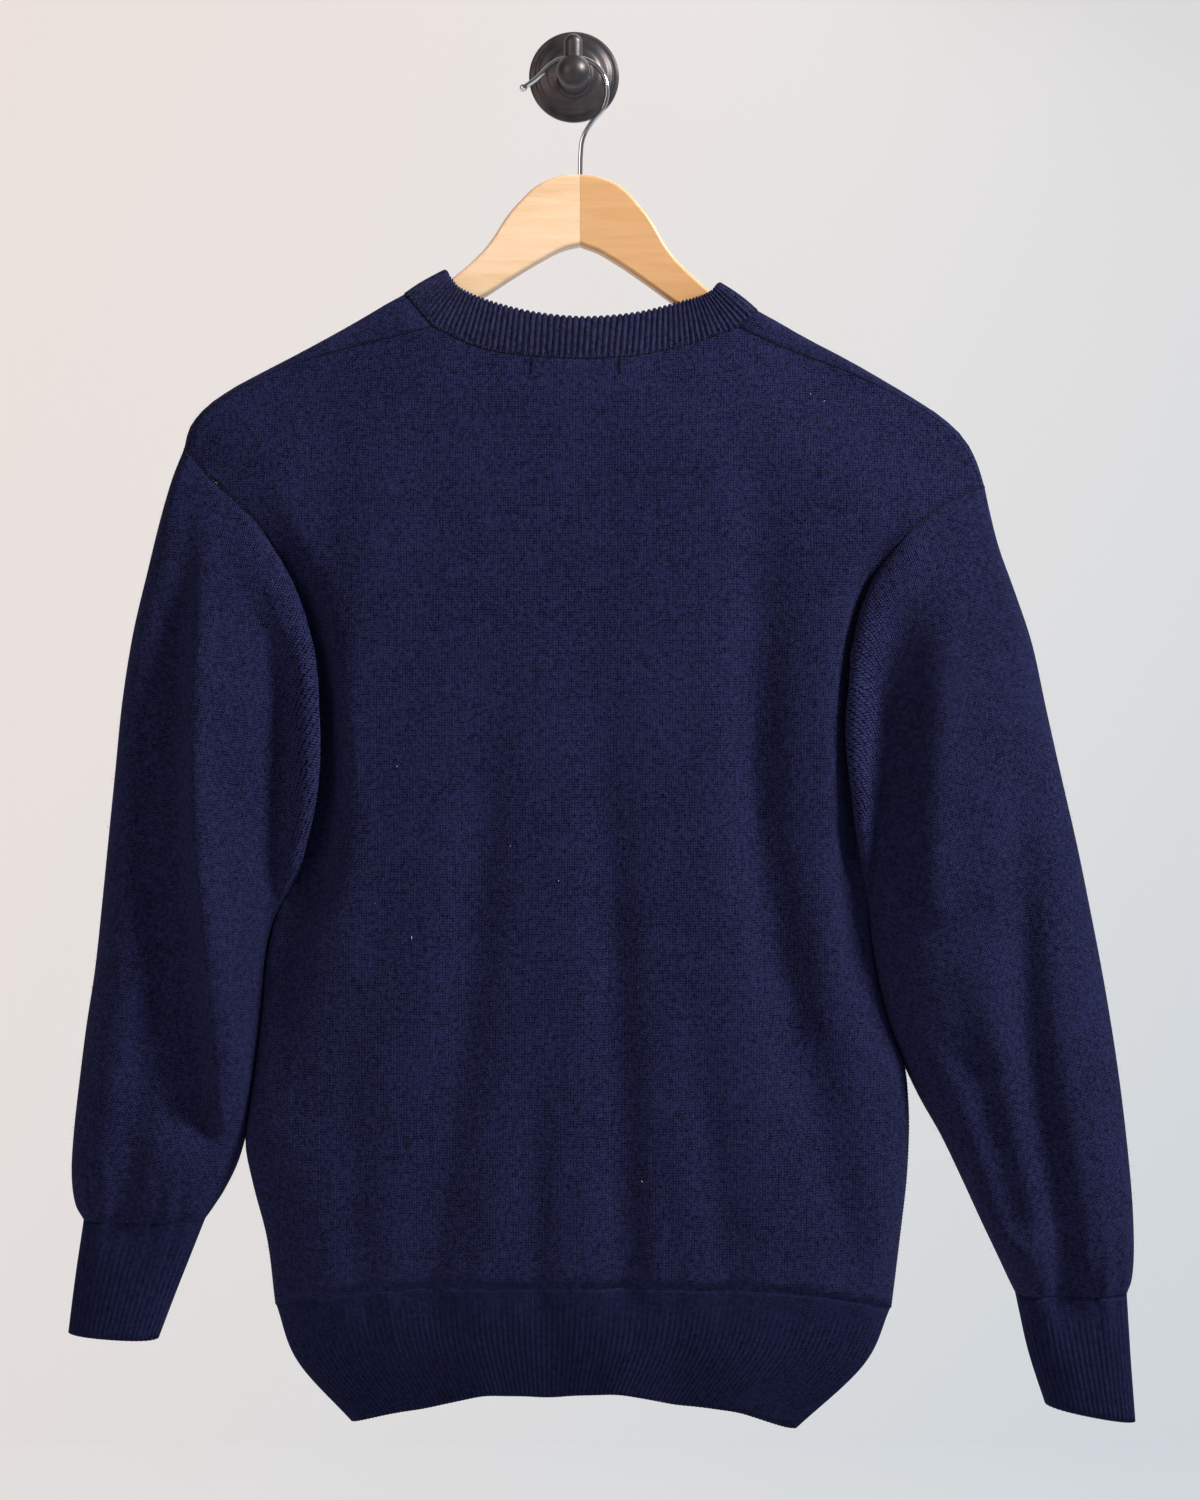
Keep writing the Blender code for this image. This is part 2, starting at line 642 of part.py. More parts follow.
def strip(upper, lower, closed):
    """Triangles between two rows of point numbers that may differ in count."""
    faces = []
    many, few = len(upper), len(lower)
    steps_many = many if closed else many - 1
    steps_few = few if closed else few - 1
    i = j = 0
    while i < steps_many or j < steps_few:
        if j >= steps_few or (i < steps_many and (i + 1) * steps_few <= (j + 1) * steps_many):
            faces.append((upper[i % many], upper[(i + 1) % many], lower[j % few]))
            i += 1
        else:
            faces.append((upper[i % many], lower[(j + 1) % few], lower[j % few]))
            j += 1
    return faces


def skin_faces(rows, columns, start, closed):
    """Quads of a grid of points, numbered from start."""
    last = columns if closed else columns - 1
    faces = []
    for r in range(rows - 1):
        for c in range(last):
            d = (c + 1) % columns
            faces.append((start + r * columns + c, start + r * columns + d,
                          start + (r + 1) * columns + d, start + (r + 1) * columns + c))
    return faces


def wall_object(name, outer, inner, closed, colour):
    """A closed wall between an outer and an inner grid, which may have fewer columns."""
    rows, many = outer.shape[:2]
    few = inner.shape[1]
    start = rows * many
    out_row = [[r * many + c for c in range(many)] for r in range(rows)]
    in_row = [[start + r * few + c for c in range(few)] for r in range(rows)]
    faces = skin_faces(rows, many, 0, closed) + skin_faces(rows, few, start, closed)
    faces += strip(out_row[0], in_row[0], closed) + strip(out_row[-1], in_row[-1], closed)
    if not closed:
        for c in (0, -1):
            for r in range(rows - 1):
                faces.append((out_row[r][c], out_row[r + 1][c], in_row[r + 1][c], in_row[r][c]))
    points = np.concatenate([outer.reshape(-1, 3), inner.reshape(-1, 3)]) * MM
    return mesh_object(name, points, faces, colour, KNIT_ROUGHNESS)


def mesh_object(name, points, faces, colour, roughness, metallic=0.0):
    """A closed mesh, in triangles, facing outwards."""
    mesh = bpy.data.meshes.new(name)
    mesh.from_pydata([tuple(p) for p in points], [], [tuple(int(i) for i in f) for f in faces])
    bm = bmesh.new()
    bm.from_mesh(mesh)
    bmesh.ops.triangulate(bm, faces=bm.faces, quad_method="FIXED")
    bmesh.ops.recalc_face_normals(bm, faces=bm.faces)
    bm.to_mesh(mesh)
    bm.free()
    return finish_object(name, mesh, colour, roughness, metallic)


def finish_object(name, mesh, colour, roughness, metallic):
    mesh.shade_smooth()
    mesh.set_sharp_from_angle(angle=math.radians(40))
    obj = bpy.data.objects.new(name, mesh)
    bpy.context.scene.collection.objects.link(obj)
    mesh.materials.append(plain_material(name, colour, roughness, metallic))
    return obj


def plain_material(name, colour, roughness, metallic):
    """A plain surface in one colour."""
    material = bpy.data.materials.new(name)
    material.use_nodes = True
    shader = material.node_tree.nodes["Principled BSDF"]
    shader.inputs["Base Color"].default_value = (*colour, 1)
    shader.inputs["Roughness"].default_value = roughness
    shader.inputs["Metallic"].default_value = metallic
    return material


def plain_wall(name, sheet):
    """A smooth knit wall of even thickness under a sheet."""
    points, faces, normals = sheet
    outer = border_drawn_in(points, faces, normals)
    count = len(points)
    closed = list(faces) + [tuple(count + i for i in face) for face in faces]
    closed += [(a, b, b + count, a + count) for a, b in border_of(faces)]
    return mesh_object(name, np.concatenate([outer, outer - WALL * normals]) * MM, closed, NAVY,
                       KNIT_ROUGHNESS)


def even_ring(ring, count):
    """Evenly spaced points round a closed ring, the first repeated at the end."""
    return on_chain(np.concatenate([ring, ring[:1]]), np.arange(count + 1) / count)


def moved_along(rail, normals, places, off):
    """Points at fractions of a rail's length, moved off it along its unit normals."""
    steps = np.linalg.norm(np.diff(rail, axis=0), axis=1)
    marks = np.concatenate([[0.0], np.cumsum(steps)]) / steps.sum()
    point = np.stack([np.interp(places, marks, rail[:, c]) for c in range(3)], axis=-1)
    facing = np.stack([np.interp(places, marks, normals[:, c]) for c in range(3)], axis=-1)
    return point + off * facing / np.linalg.norm(facing, axis=-1, keepdims=True)


def ribbed_wall(name, rails, normals, ribs, closed):
    """A knit wall with ribs across its rails on the outer skin, over a plain, coarser inside."""
    places = np.arange(2 * ribs + (not closed)) / (2 * ribs)
    raised = np.where(np.arange(len(places)) % 2 == 0, -RIB_RELIEF, RIB_RELIEF)[:, None]
    if not closed:
        raised[[0, -1]] = 0
    share = (SEAM_RELIEF, 1, 1)
    outer = np.array([moved_along(r, n, places, raised * s) for r, n, s in zip(rails, normals, share)])
    inner = np.array([moved_along(r, n, places[::INNER_STEP], -WALL) for r, n in zip(rails, normals)])
    return wall_object(name, draw_in(outer, closed), draw_in(inner, closed), closed, NAVY_RIB)


def cuff(name, tab, sleeve_end, facing):
    """A ribbed cuff hanging from the sleeve's last ring."""
    count = CUFF_STEPS
    turn = np.linspace(0, 2, 2 * count, endpoint=False)
    rings = [sleeve_end, section(tab, 0, turn), section(tab, 1, turn)]
    skin = np.array([even_ring(ring, count) for ring in rings])
    normals = surface_normals(skin[:, :-1], True)
    normals = point_outwards(skin[:, :-1], normals, skin[:, :-1].mean(1, keepdims=True))
    normals = np.concatenate([normals, normals[:, :1]], axis=1)
    rail = np.concatenate([sleeve_end, sleeve_end[:1]])
    facing = np.concatenate([facing, facing[:1]])
    normals[0] = moved_along(rail, facing, np.arange(count + 1) / count, 1.0) - skin[0]
    return ribbed_wall(name, skin, normals, CUFF_RIBS, True)


def hem_half(name, base, base_normals, side):
    """Half the hem rib, under the back or the front panel."""
    fine = np.linspace(0, 1, 2 * HEM_STEPS + 1)
    even = np.linspace(0, 1, HEM_STEPS + 1)
    rails = [on_chain(base, even)]
    for row in (1, 2):
        xz = hem_curve(row, fine)
        full = read(DEPTH, side, xz[:, 1])
        rails.append(on_chain(stand(xz, full * roundness(fine), side), even))
    skin = np.array(rails)
    core = skin.mean((0, 1)) * (1, 0, 1) + (0, HANGER_PLANE, 0)
    normals = point_outwards(skin, surface_normals(skin, False), core)
    normals[:, 0] = (-1, 0, 0)
    normals[:, -1] = (1, 0, 0)
    normals[0] = moved_along(base, base_normals, even, 1.0) - skin[0]
    return ribbed_wall(name, skin, normals, HEM_RIBS_EACH_HALF, False)


def loop_through(marks, points, at):
    """A smooth closed curve through points at increasing marks from 0 up to but not at 1."""
    marks = np.concatenate([marks[-2:] - 1, marks, marks[:3] + 1])
    points = np.concatenate([points[-2:], points, points[:3]])
    slopes = np.gradient(points, marks, axis=0)
    i = np.clip(np.searchsorted(marks, at, side="right") - 1, 0, len(marks) - 2)
    return np.stack([hermite(marks, points[:, c], slopes[:, c], i, at) for c in range(3)], axis=-1)


def neck_stations():
    """The neck seam's table points in space, from the left corner behind, round to it again."""
    xz = plan(NECK, "seam_x", "seam_z")
    back = stand(xz, open_depth(xz, "back"), "back")
    front = stand(xz, open_depth(xz, "front"), "front")
    on_back = np.arange(len(xz)) < RIGHT_RIDGE_STATION
    seam = np.where(on_back[:, None], back, front)
    return np.roll(seam, -1, axis=0)


def neckband(base, facing):
    """The ribbed band, from the neck edges of back and front up to its free edge."""
    count = NECK_STEPS
    even = np.arange(count + 1) / count
    start = on_chain(base, even)
    marks = [np.linalg.norm(start[:-1] - seam, axis=1).argmin() / count for seam in neck_stations()]
    edge = np.stack([NECK["edge_x"], NECK["edge_y"], NECK["edge_z"]], axis=-1)
    edge = loop_through(np.array(marks), np.roll(edge, -1, axis=0), even)
    skin = np.array([start, (start + edge) / 2, edge])
    normals = surface_normals(skin[:, :-1], True)
    normals = point_outwards(skin[:, :-1], normals, skin.mean((0, 1)))
    normals = np.concatenate([normals, normals[:, :1]], axis=1)
    skin[1] += NECK_BULGE * normals[1]
    normals[0] = moved_along(base, facing, even, 1.0) - start
    return ribbed_wall("neckband", skin, normals, NECK_RIBS, True)


def axis_frame(direction):
    """A turn that takes +Z to the given direction."""
    return Vector((0, 0, 1)).rotation_difference(Vector(direction).normalized()).to_matrix()


def turned_points(places, radii, start, direction, sides, sink):
    """Rings of points round an axis, in metres, each sunk by a share of its place along the axis."""
    quarter = axis_frame(direction)
    points = []
    for place, radius in zip(places, radii):
        lower = Vector((0, 0, -sink * place))
        for side in range(sides):
            turn = 2 * math.pi * side / sides
            local = Vector((radius * math.cos(turn), radius * math.sin(turn), place))
            points.append((Vector(start) + quarter @ local + lower) * MM)
    return points


def capped_faces(rings, sides):
    faces = skin_faces(rings, sides, 0, True)
    faces.append(tuple(range(sides)))
    faces.append(tuple(range((rings - 1) * sides, rings * sides)))
    return faces


def turned(name, places, radii, start, direction, look, sides=28, sink=0.0):
    """A turned piece along an axis, closed at both ends."""
    points = turned_points(places, radii, start, direction, sides, sink)
    return mesh_object(name, points, capped_faces(len(radii), sides), *look)


def ball_end(middle, radius, first_turn):
    """Places and radii of a ball's far part, from a turn before its equator to its pole."""
    turns = np.radians([*np.arange(first_turn, 80, 20), 80])
    return list(middle + radius * np.sin(turns)), list(radius * np.cos(turns))


def wall_plate():
    turned("wall_plate", PLATE["along"], PLATE["radius"], (0, 0, 0), (0, -1, 0), METAL_BRONZE, 32)


def hook_post():
    """The post that carries the hanger, with its ball end and the upright pin on it, in one piece."""
    ball_places, ball_radii = ball_end(POST_REACH, BALL_RADIUS, -35)
    post = turned("hook_post", [*POST["along"], *ball_places], [*POST["radius"], *ball_radii],
                  POST_START, (0, -1, 0), METAL_BRONZE, 24, POST_DROP / POST_REACH)
    tip_places, tip_radii = ball_end(PIN_RISE - PIN_RADIUS, PIN_RADIUS, 0)
    ball_middle = Vector(POST_START) + Vector((0, -POST_REACH, -POST_DROP))
    pin = turned("pin_shape", [0, *tip_places], [PIN_RADIUS, *tip_radii], ball_middle, (0, 0, 1),
                 METAL_BRONZE, 16)
    join(post, pin, "UNION")


def join(piece, tool, how):
    """Adds or cuts away a helper shape, which then stays out of sight."""
    boolean = piece.modifiers.new(how.lower(), "BOOLEAN")
    boolean.operation = how
    boolean.object = tool
    tool.hide_render = True
    tool.display_type = "WIRE"


def hanger_outline(side):
    """One arm's outline from the mitre out along the top and back along the underside, tilted."""
    out = np.concatenate([HANGER["out"], [HANGER_TIP[0]], HANGER["out"][::-1]])
    down = np.concatenate([HANGER["top"], [HANGER_TIP[1]], HANGER["under"][::-1]])
    x = side * out
    turned_x = x * math.cos(HANGER_TILT) + down * math.sin(HANGER_TILT)
    turned_z = down * math.cos(HANGER_TILT) - x * math.sin(HANGER_TILT)
    at_mitre = out < 1e-6
    turned_x[at_mitre] = side * SEAM_GAP / 2
    return np.stack([turned_x + HANGER_MIDDLE[0], turned_z + HANGER_MIDDLE[1]], axis=-1)


def hanger_arm(name, side):
    """A flat wooden arm with rounded edges, half of the hanger, drilled for the wire."""
    outline = hanger_outline(side)
    inset = inset_outline(outline, HANGER_EDGE, side)
    half = HANGER_THICK / 2
    layers = [(inset, -half), (outline, -half + HANGER_EDGE), (outline, half - HANGER_EDGE), (inset, half)]
    points = [(p[0] * MM, (HANGER_PLANE + off) * MM, p[1] * MM) for layer, off in layers for p in layer]
    arm = mesh_object(name, points, capped_faces(len(layers), len(outline)), *WOOD_MAPLE)
    bottom = (WIRE["x"][0], HANGER_PLANE, HANGER_MIDDLE[1] - WIRE_DEPTH_IN_WOOD)
    drill = turned(name + "_drill", [0, 2 * WIRE_DEPTH_IN_WOOD], [WIRE_HOLE_RADIUS] * 2, bottom, (0, 0, 1),
                   WOOD_MAPLE, 12)
    join(arm, drill, "DIFFERENCE")


def inset_outline(outline, amount, side):
    """The outline drawn in along its normals, but not at the mitre."""
    before = np.roll(outline, 1, axis=0)
    after = np.roll(outline, -1, axis=0)
    step = after - before
    normal = np.stack([-step[:, 1], step[:, 0]], axis=-1) * -side
    normal = normal / np.linalg.norm(normal, axis=-1, keepdims=True)
    moved = outline + normal * amount
    at_mitre = np.abs(outline[:, 0] - HANGER_MIDDLE[0]) < SEAM_GAP
    moved[at_mitre, 0] = outline[at_mitre, 0]
    moved[0, 1] = outline[0, 1] - amount
    moved[-1, 1] = outline[-1, 1] + amount
    return moved


def hanger_wire():
    """The wire hook: up out of the wood, over the post and down to its ball tip."""
    path = along(plan(WIRE), np.linspace(0, 1, 34))
    down = np.array([[path[0][0], HANGER_MIDDLE[1] - WIRE_DEPTH_IN_WOOD + 1]])
    path = np.concatenate([down, path])
    step = path[-1] - path[-2]
    step = step / np.linalg.norm(step)
    ahead = np.array([0.8, 1.8, 3.0, 4.2, 5.0])
    radii = [WIRE_RADIUS] * len(path) + [2.0, WIRE_TIP_RADIUS, WIRE_TIP_RADIUS, 1.7, 0.8]
    path = np.concatenate([path, path[-1] + ahead[:, None] * step])
    steps = np.gradient(path, axis=0)
    steps = steps / np.linalg.norm(steps, axis=-1, keepdims=True)
    sides = 8
    points = []
    for (x, z), (dx, dz), radius in zip(path, steps, radii):
        for side in range(sides):
            turn = 2 * math.pi * side / sides
            off = radius * math.cos(turn)
            points.append(((x - dz * off) * MM, (HANGER_PLANE + radius * math.sin(turn)) * MM,
                           (z + dx * off) * MM))
    mesh_object("hanger_wire", points, capped_faces(len(radii), sides), *METAL_CHROME)


def sleeve(side, tab, folds, cuff_rows, up_back, up_front):
    """A sleeve's sheet, its end ring and the cuff's sections."""
    skin = sleeve_skin(tab, folds, up_back[LAST_SIDE_ROW:], up_front[LAST_SIDE_ROW:])
    middle = skin.mean((0, 1))
    return side, sheet_of([skin], True, middle), skin[-1], cuff_rows


def garment():
    """Every knit piece."""
    back = back_skin()
    front = front_skin()
    first, last = slice(0, SHOULDER_COLUMNS), slice(-SHOULDER_COLUMNS, None)
    over_left = over_shoulder(front[-1, first], back[-1, first])
    over_right = over_shoulder(front[-1, last], back[-1, last])
    middle = np.array([5.0, HANGER_PLANE, -450.0])
    back_sheet = sheet_of([back], False, middle)
    front_sheet = sheet_of([front, over_left, over_right], False, middle)
    sleeves = [sleeve("left", LEFT_SLEEVE, LEFT_SLEEVE_FOLDS, LEFT_CUFF, back[:, 0],
                      np.concatenate([front[:, 0], over_left[1:, 0]])),
               sleeve("right", RIGHT_SLEEVE, RIGHT_SLEEVE_FOLDS, RIGHT_CUFF, back[:, -1],
                      np.concatenate([front[:, -1], over_right[1:, -1]]))]
    share_normals([back_sheet, front_sheet, *(s[1] for s in sleeves)])
    plain_wall("back_panel", back_sheet)
    plain_wall("front_panel", front_sheet)
    for side, sheet, end, cuff_rows in sleeves:
        plain_wall("sleeve_" + side, sheet)
        cuff("cuff_" + side, cuff_rows, end, facing_at(sheet, end))
    hem_half("hem_rib_back", back[0], facing_at(back_sheet, back[0]), "back")
    hem_half("hem_rib_front", front[0], facing_at(front_sheet, front[0]), "front")
    behind = back[-1, SHOULDER_COLUMNS - 1:1 - SHOULDER_COLUMNS]
    front_neck = front[-1, SHOULDER_COLUMNS - 1:1 - SHOULDER_COLUMNS][::-1]
    around = np.concatenate([over_right[-2:0:-1, 0], front_neck, over_left[1:, -1]])
    facing = np.concatenate([facing_at(back_sheet, behind), facing_at(front_sheet, around)])
    neckband(np.concatenate([behind, around]), facing)


def clear_scene():
    for old in list(bpy.data.objects):
        bpy.data.objects.remove(old, do_unlink=True)


clear_scene()
wall_plate()
hook_post()
hanger_wire()
hanger_arm("hanger_arm_left", -1)
hanger_arm("hanger_arm_right", 1)
garment()
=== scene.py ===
# %% [markdown]
# Crewneck sweater, seen from its back, on a wooden hanger that hangs from a wall hook.
# The frame holds the solids at their real size. This file gives them their looks: the knit
# shells, ribs, seams and fibres, and the finer wood, wire and hook. Shapes are worked out in
# millimetres, from the same short tables as the solids, and made into meshes in metres.

# %% Load the frame
import math

import bmesh
import bpy
import numpy as np
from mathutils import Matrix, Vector


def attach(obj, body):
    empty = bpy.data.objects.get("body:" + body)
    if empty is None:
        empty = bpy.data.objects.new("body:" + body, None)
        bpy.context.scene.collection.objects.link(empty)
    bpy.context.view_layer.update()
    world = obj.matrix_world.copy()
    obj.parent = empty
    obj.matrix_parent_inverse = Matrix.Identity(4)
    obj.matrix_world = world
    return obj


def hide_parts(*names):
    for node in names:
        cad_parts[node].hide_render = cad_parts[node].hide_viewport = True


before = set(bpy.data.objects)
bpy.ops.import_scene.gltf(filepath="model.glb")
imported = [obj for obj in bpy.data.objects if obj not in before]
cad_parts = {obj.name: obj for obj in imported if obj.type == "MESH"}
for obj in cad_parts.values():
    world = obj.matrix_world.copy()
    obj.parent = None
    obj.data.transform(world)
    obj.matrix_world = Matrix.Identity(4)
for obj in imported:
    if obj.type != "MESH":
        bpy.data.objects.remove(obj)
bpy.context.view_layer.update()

MM = 0.001

# %% [markdown]
# The photograph was taken straight on, from about a metre and a half. A long lens at that
# distance gives the same small perspective: the near cloth looks a little larger than the
# wall. The picture's middle column lies a little to the right of the wall plate.

# %% Camera
CAMERA_PLACE = (0.0159, -1.445, -0.4113)
CAMERA_LENS_MM = 56.66
CAMERA_SENSOR_MM = 36.0


def new_object(name, data):
    """An object for a mesh, a light or a camera, in the scene."""
    piece = bpy.data.objects.new(name, data)
    bpy.context.scene.collection.objects.link(piece)
    return piece


camera_data = bpy.data.cameras.new("camera")
camera_data.lens = CAMERA_LENS_MM
camera_data.sensor_width = CAMERA_SENSOR_MM
camera = new_object("camera", camera_data)
camera.location = CAMERA_PLACE
camera.rotation_euler = (math.radians(90), 0, 0)
bpy.context.scene.camera = camera
print("camera at", CAMERA_PLACE)

# %% [markdown]
# Colours are written as sRGB hex, the way they are read off a screen, and one function turns
# them to the linear values that shaders add and multiply. A second function adds any node
# with its settings and links, so that each material reads as a list of what goes into what.

# %% Colour and node helpers
def linear(hex_colour):
    """An sRGB hex colour as linear red, green, blue and an alpha of 1."""
    channels = [int(hex_colour[i:i + 2], 16) / 255 for i in (1, 3, 5)]
    return (*(c / 12.92 if c <= 0.04045 else ((c + 0.055) / 1.055) ** 2.4 for c in channels), 1)


def add(tree, kind, inputs=None, **settings):
    """Adds a node. inputs maps a socket to a value or to another node's output."""
    node = tree.nodes.new(kind)
    for name, value in settings.items():
        setattr(node, name, value)
    for socket, value in (inputs or {}).items():
        if isinstance(value, bpy.types.NodeSocket):
            tree.links.new(value, node.inputs[socket])
        else:
            node.inputs[socket].default_value = value
    return node


def new_material(name, **shader_values):
    """A material with its Principled shader set; its tree and shader are returned too."""
    material = bpy.data.materials.new(name)
    material.use_nodes = True
    shader = material.node_tree.nodes["Principled BSDF"]
    for socket, value in shader_values.items():
        shader.inputs[socket.replace("_", " ")].default_value = value
    return material, material.node_tree, shader


def set_stops(ramp, first, last, *between):
    """Sets a colour ramp's stops, each a place and a hex colour."""
    elements = ramp.color_ramp.elements
    for element, (place, colour) in zip(elements, (first, last)):
        element.position = place
        element.color = linear(colour)
    for place, colour in between:
        elements.new(place).color = linear(colour)


# %% [markdown]
# The backdrop is a plain pale wall far behind, and a pale floor far below, so that the part
# can be seen from every side. Both glow a little with painted light, warmer high on the left
# and cooler and darker low on the right. A small key shines from the upper right in front, a
# weak wide fill from the left and a dim light from behind, and a pale sky keeps the shadows open.

# %% Backdrop
WALL_PLACE_Y = 2.6
FLOOR_PLACE_Z = -1.6
STAGE_HALF = 7.0
# Painted light on the backdrop: how strongly it glows, and how its glow turns cooler and darker to the
# right and down.
PAINTED_LIGHT_GLOW = 0.7
LIGHT_FALL_ACROSS = 0.3
LIGHT_FALL_DOWN = -0.16
LIGHT_FALL_MIDDLE = 0.5


def glowing_wall_material():
    """Matt paint with painted light: it glows a little, warmer high on the left and cooler and darker low
    on the right.
    """
    material, tree, shader = new_material("matt_wall_painted_light_glow", Base_Color=linear("#8f8d8c"),
                                          Roughness=0.9, Emission_Strength=PAINTED_LIGHT_GLOW)
    # Painted light: the glow runs from warm at the top left to cool and darker at the bottom right.
    place = add(tree, "ShaderNodeTexCoord")
    parts = add(tree, "ShaderNodeSeparateXYZ", {0: place.outputs["Object"]})
    across = add(tree, "ShaderNodeMath", {0: parts.outputs["X"], 1: LIGHT_FALL_ACROSS, 2: LIGHT_FALL_MIDDLE},
                 operation="MULTIPLY_ADD")
    fall = add(tree, "ShaderNodeMath", {0: parts.outputs["Z"], 1: LIGHT_FALL_DOWN, 2: across.outputs[0]},
               operation="MULTIPLY_ADD", use_clamp=True)
    ramp = add(tree, "ShaderNodeValToRGB", {"Fac": fall.outputs[0]})
    set_stops(ramp, (0, "#f6e9e3"), (1, "#cbd5dc"))
    tree.links.new(ramp.outputs["Color"], shader.inputs["Emission Color"])
    return material


backdrop_painted_light = glowing_wall_material()


def stage_plane(name, corners):
    """A plain square of the stage, through four corners."""
    mesh = bpy.data.meshes.new(name)
    mesh.from_pydata(corners, [], [(0, 1, 2, 3)])
    mesh.materials.append(backdrop_painted_light)
    plane = new_object(name, mesh)


stage_plane("backdrop", [(-STAGE_HALF, WALL_PLACE_Y, FLOOR_PLACE_Z),
                         (STAGE_HALF, WALL_PLACE_Y, FLOOR_PLACE_Z),
                         (STAGE_HALF, WALL_PLACE_Y, STAGE_HALF),
                         (-STAGE_HALF, WALL_PLACE_Y, STAGE_HALF)])
stage_plane("floor", [(-STAGE_HALF, -STAGE_HALF, FLOOR_PLACE_Z),
                      (STAGE_HALF, -STAGE_HALF, FLOOR_PLACE_Z),
                      (STAGE_HALF, WALL_PLACE_Y, FLOOR_PLACE_Z),
                      (-STAGE_HALF, WALL_PLACE_Y, FLOOR_PLACE_Z)])
print("stage: a wall at y", WALL_PLACE_Y, "and a floor at z", FLOOR_PLACE_Z)

# %% Light
LIGHTS = (
    # name, place, size, power in watts, colour
    ("key", (1.72, -0.8, 1.06), 0.5, 96, "#fffaf4"),
    ("fill", (-1.7, -2.2, 0.5), 1.6, 24, "#ffe7d8"),
    ("back_light", (0.6, 1.9, 1.6), 1.6, 14, "#f4f7ff"),
)
AIM = Vector((0.0, -0.04, -0.42))
SKY_COLOUR = "#eceef2"
SKY_STRENGTH = 0.16


def soft_light(name, place, size, power, colour):
    """A square soft light that faces the sweater."""
    data = bpy.data.lights.new(name, "AREA")
    data.size = size
    data.energy = power
    data.color = linear(colour)[:3]
    light = new_object(name, data)
    light.location = place
    light.rotation_euler = (AIM - Vector(place)).to_track_quat("-Z", "Y").to_euler()


for row in LIGHTS:
    soft_light(*row)

world = bpy.data.worlds.new("pale_room")
world.use_nodes = True
sky = world.node_tree.nodes["Background"]
sky.inputs["Color"].default_value = linear(SKY_COLOUR)
sky.inputs["Strength"].default_value = SKY_STRENGTH
bpy.context.scene.world = world
bpy.context.scene.view_settings.view_transform = "Standard"
print("lights:", [row[0] for row in LIGHTS])

# %% [markdown]
# The sweater hangs nearly flat: two layers of knit about 6 cm apart, draped over the hanger.
# Its outline and depths come from short tables in millimetres, +X right, +Y into the wall and
# +Z up. A cubic through each table's rows gives every point between. The same rules made the
# solids, so the fine shells lie on them.

# %% Garment sizes
RIDGE_RADIUS = 10.0
BACK_SLOPE = 0.28
FRONT_SLOPE = 0.20
BLEND = 2.5
ROUNDNESS = 2.6
SLEEVE_ROUNDNESS = 2.3
NECK_BULGE = 0.8
HANGER_PLANE = -30.0
HANGER_THICK = 11.0
HANGER_MIDDLE = (4.0, -67.0)
HANGER_TILT = math.radians(1.4)
HANGER_EDGE = 2.5


def table(columns, *rows):
    """A small table: each named column becomes an array."""
    values = np.array(rows, float)
    return {name: values[:, i] for i, name in enumerate(columns.split())}


# The shoulder line, from the left sleeve over the hanger to the right sleeve.
RIDGE = table(
    "x z",
    (-233, -231), (-230, -219), (-222, -208), (-206, -196), (-184, -184), (-161, -172),
    (-132, -156), (-101, -138), (-60, -130), (4, -127), (65, -134), (110, -148),
    (140, -165), (163, -177), (184, -189), (204, -201), (223, -214), (234, -225),
    (241, -238), (246, -254),
)
# The rows of the shoulder line where the neck seam crosses it.
LEFT_CROSSING = 7
RIGHT_CROSSING = 11
# The shoulder seams behind, from the armhole in to the neck.
LEFT_SEAM = table(
    "x z", (-230, -232), (-226.5, -220), (-219.5, -210.5), (-205, -199.5), (-190, -191.5),
    (-169, -182.5), (-154, -177.5), (-123, -169.5), (-103, -165), (-83, -160),
)
RIGHT_SEAM = table(
    "x z", (243, -255), (237.5, -240), (230.5, -228), (220.5, -217.5), (203, -205.5),
    (179, -193), (156, -183), (141, -178), (125, -172), (98, -160),
)
LEFT_SIDE = table(
    "x z", (-177, -740), (-182, -700), (-189, -668), (-192.5, -645), (-190.2, -624), (-187, -604),
    (-184, -581), (-182, -562), (-180.8, -545), (-179, -530), (-174, -509), (-163, -488),
)
RIGHT_SIDE = table(
    "x z", (189, -742), (194, -700), (196.6, -661), (196.6, -620), (194, -598), (186.6, -579),
    (181, -560), (177, -542), (174.8, -525), (174.3, -510), (174.6, -495), (175, -477),
)
LEFT_ARMHOLE = table("x z", (-163, -488), (-160, -441), (-161, -394), (-164, -347),
                     (-172, -306), (-183, -282), (-198, -265), (-216, -249), (-233, -231))
RIGHT_ARMHOLE = table("x z", (175, -477), (178, -435), (178, -388), (181, -344),
                      (186, -306), (197, -284), (213, -270), (230, -261), (246, -254))
# The neck seam and the band's free edge, from the left crossing round behind, then in front.
NECK = table(
    "seam_x seam_z edge_x edge_y edge_z",
    (-101, -138, -77, -30, -124.5),
    (-83, -160, -68, -41.5, -136),
    (-53, -174, -48, -44.5, -145),
    (-25, -178.5, -23, -46.5, -151.5),
    (4, -180, 6, -47.5, -154.5),
    (34, -178.5, 36, -46.5, -152),
    (66, -172, 64, -44.5, -145),
    (98, -160, 81, -41.5, -139),
    (110, -148, 88, -30, -132),
    (108, -159, 86, -20, -143.5),
    (104, -172, 82, -18, -158),
    (84, -203, 63, -14, -186),
    (48, -226, 35, -12, -204),
    (4, -235, 4, -11, -211),
    (-40, -226, -27, -12, -203),
    (-75, -200, -54, -14, -182),
    (-95, -165, -72, -18, -150),
    (-98.5, -150, -75.5, -20, -136),
)
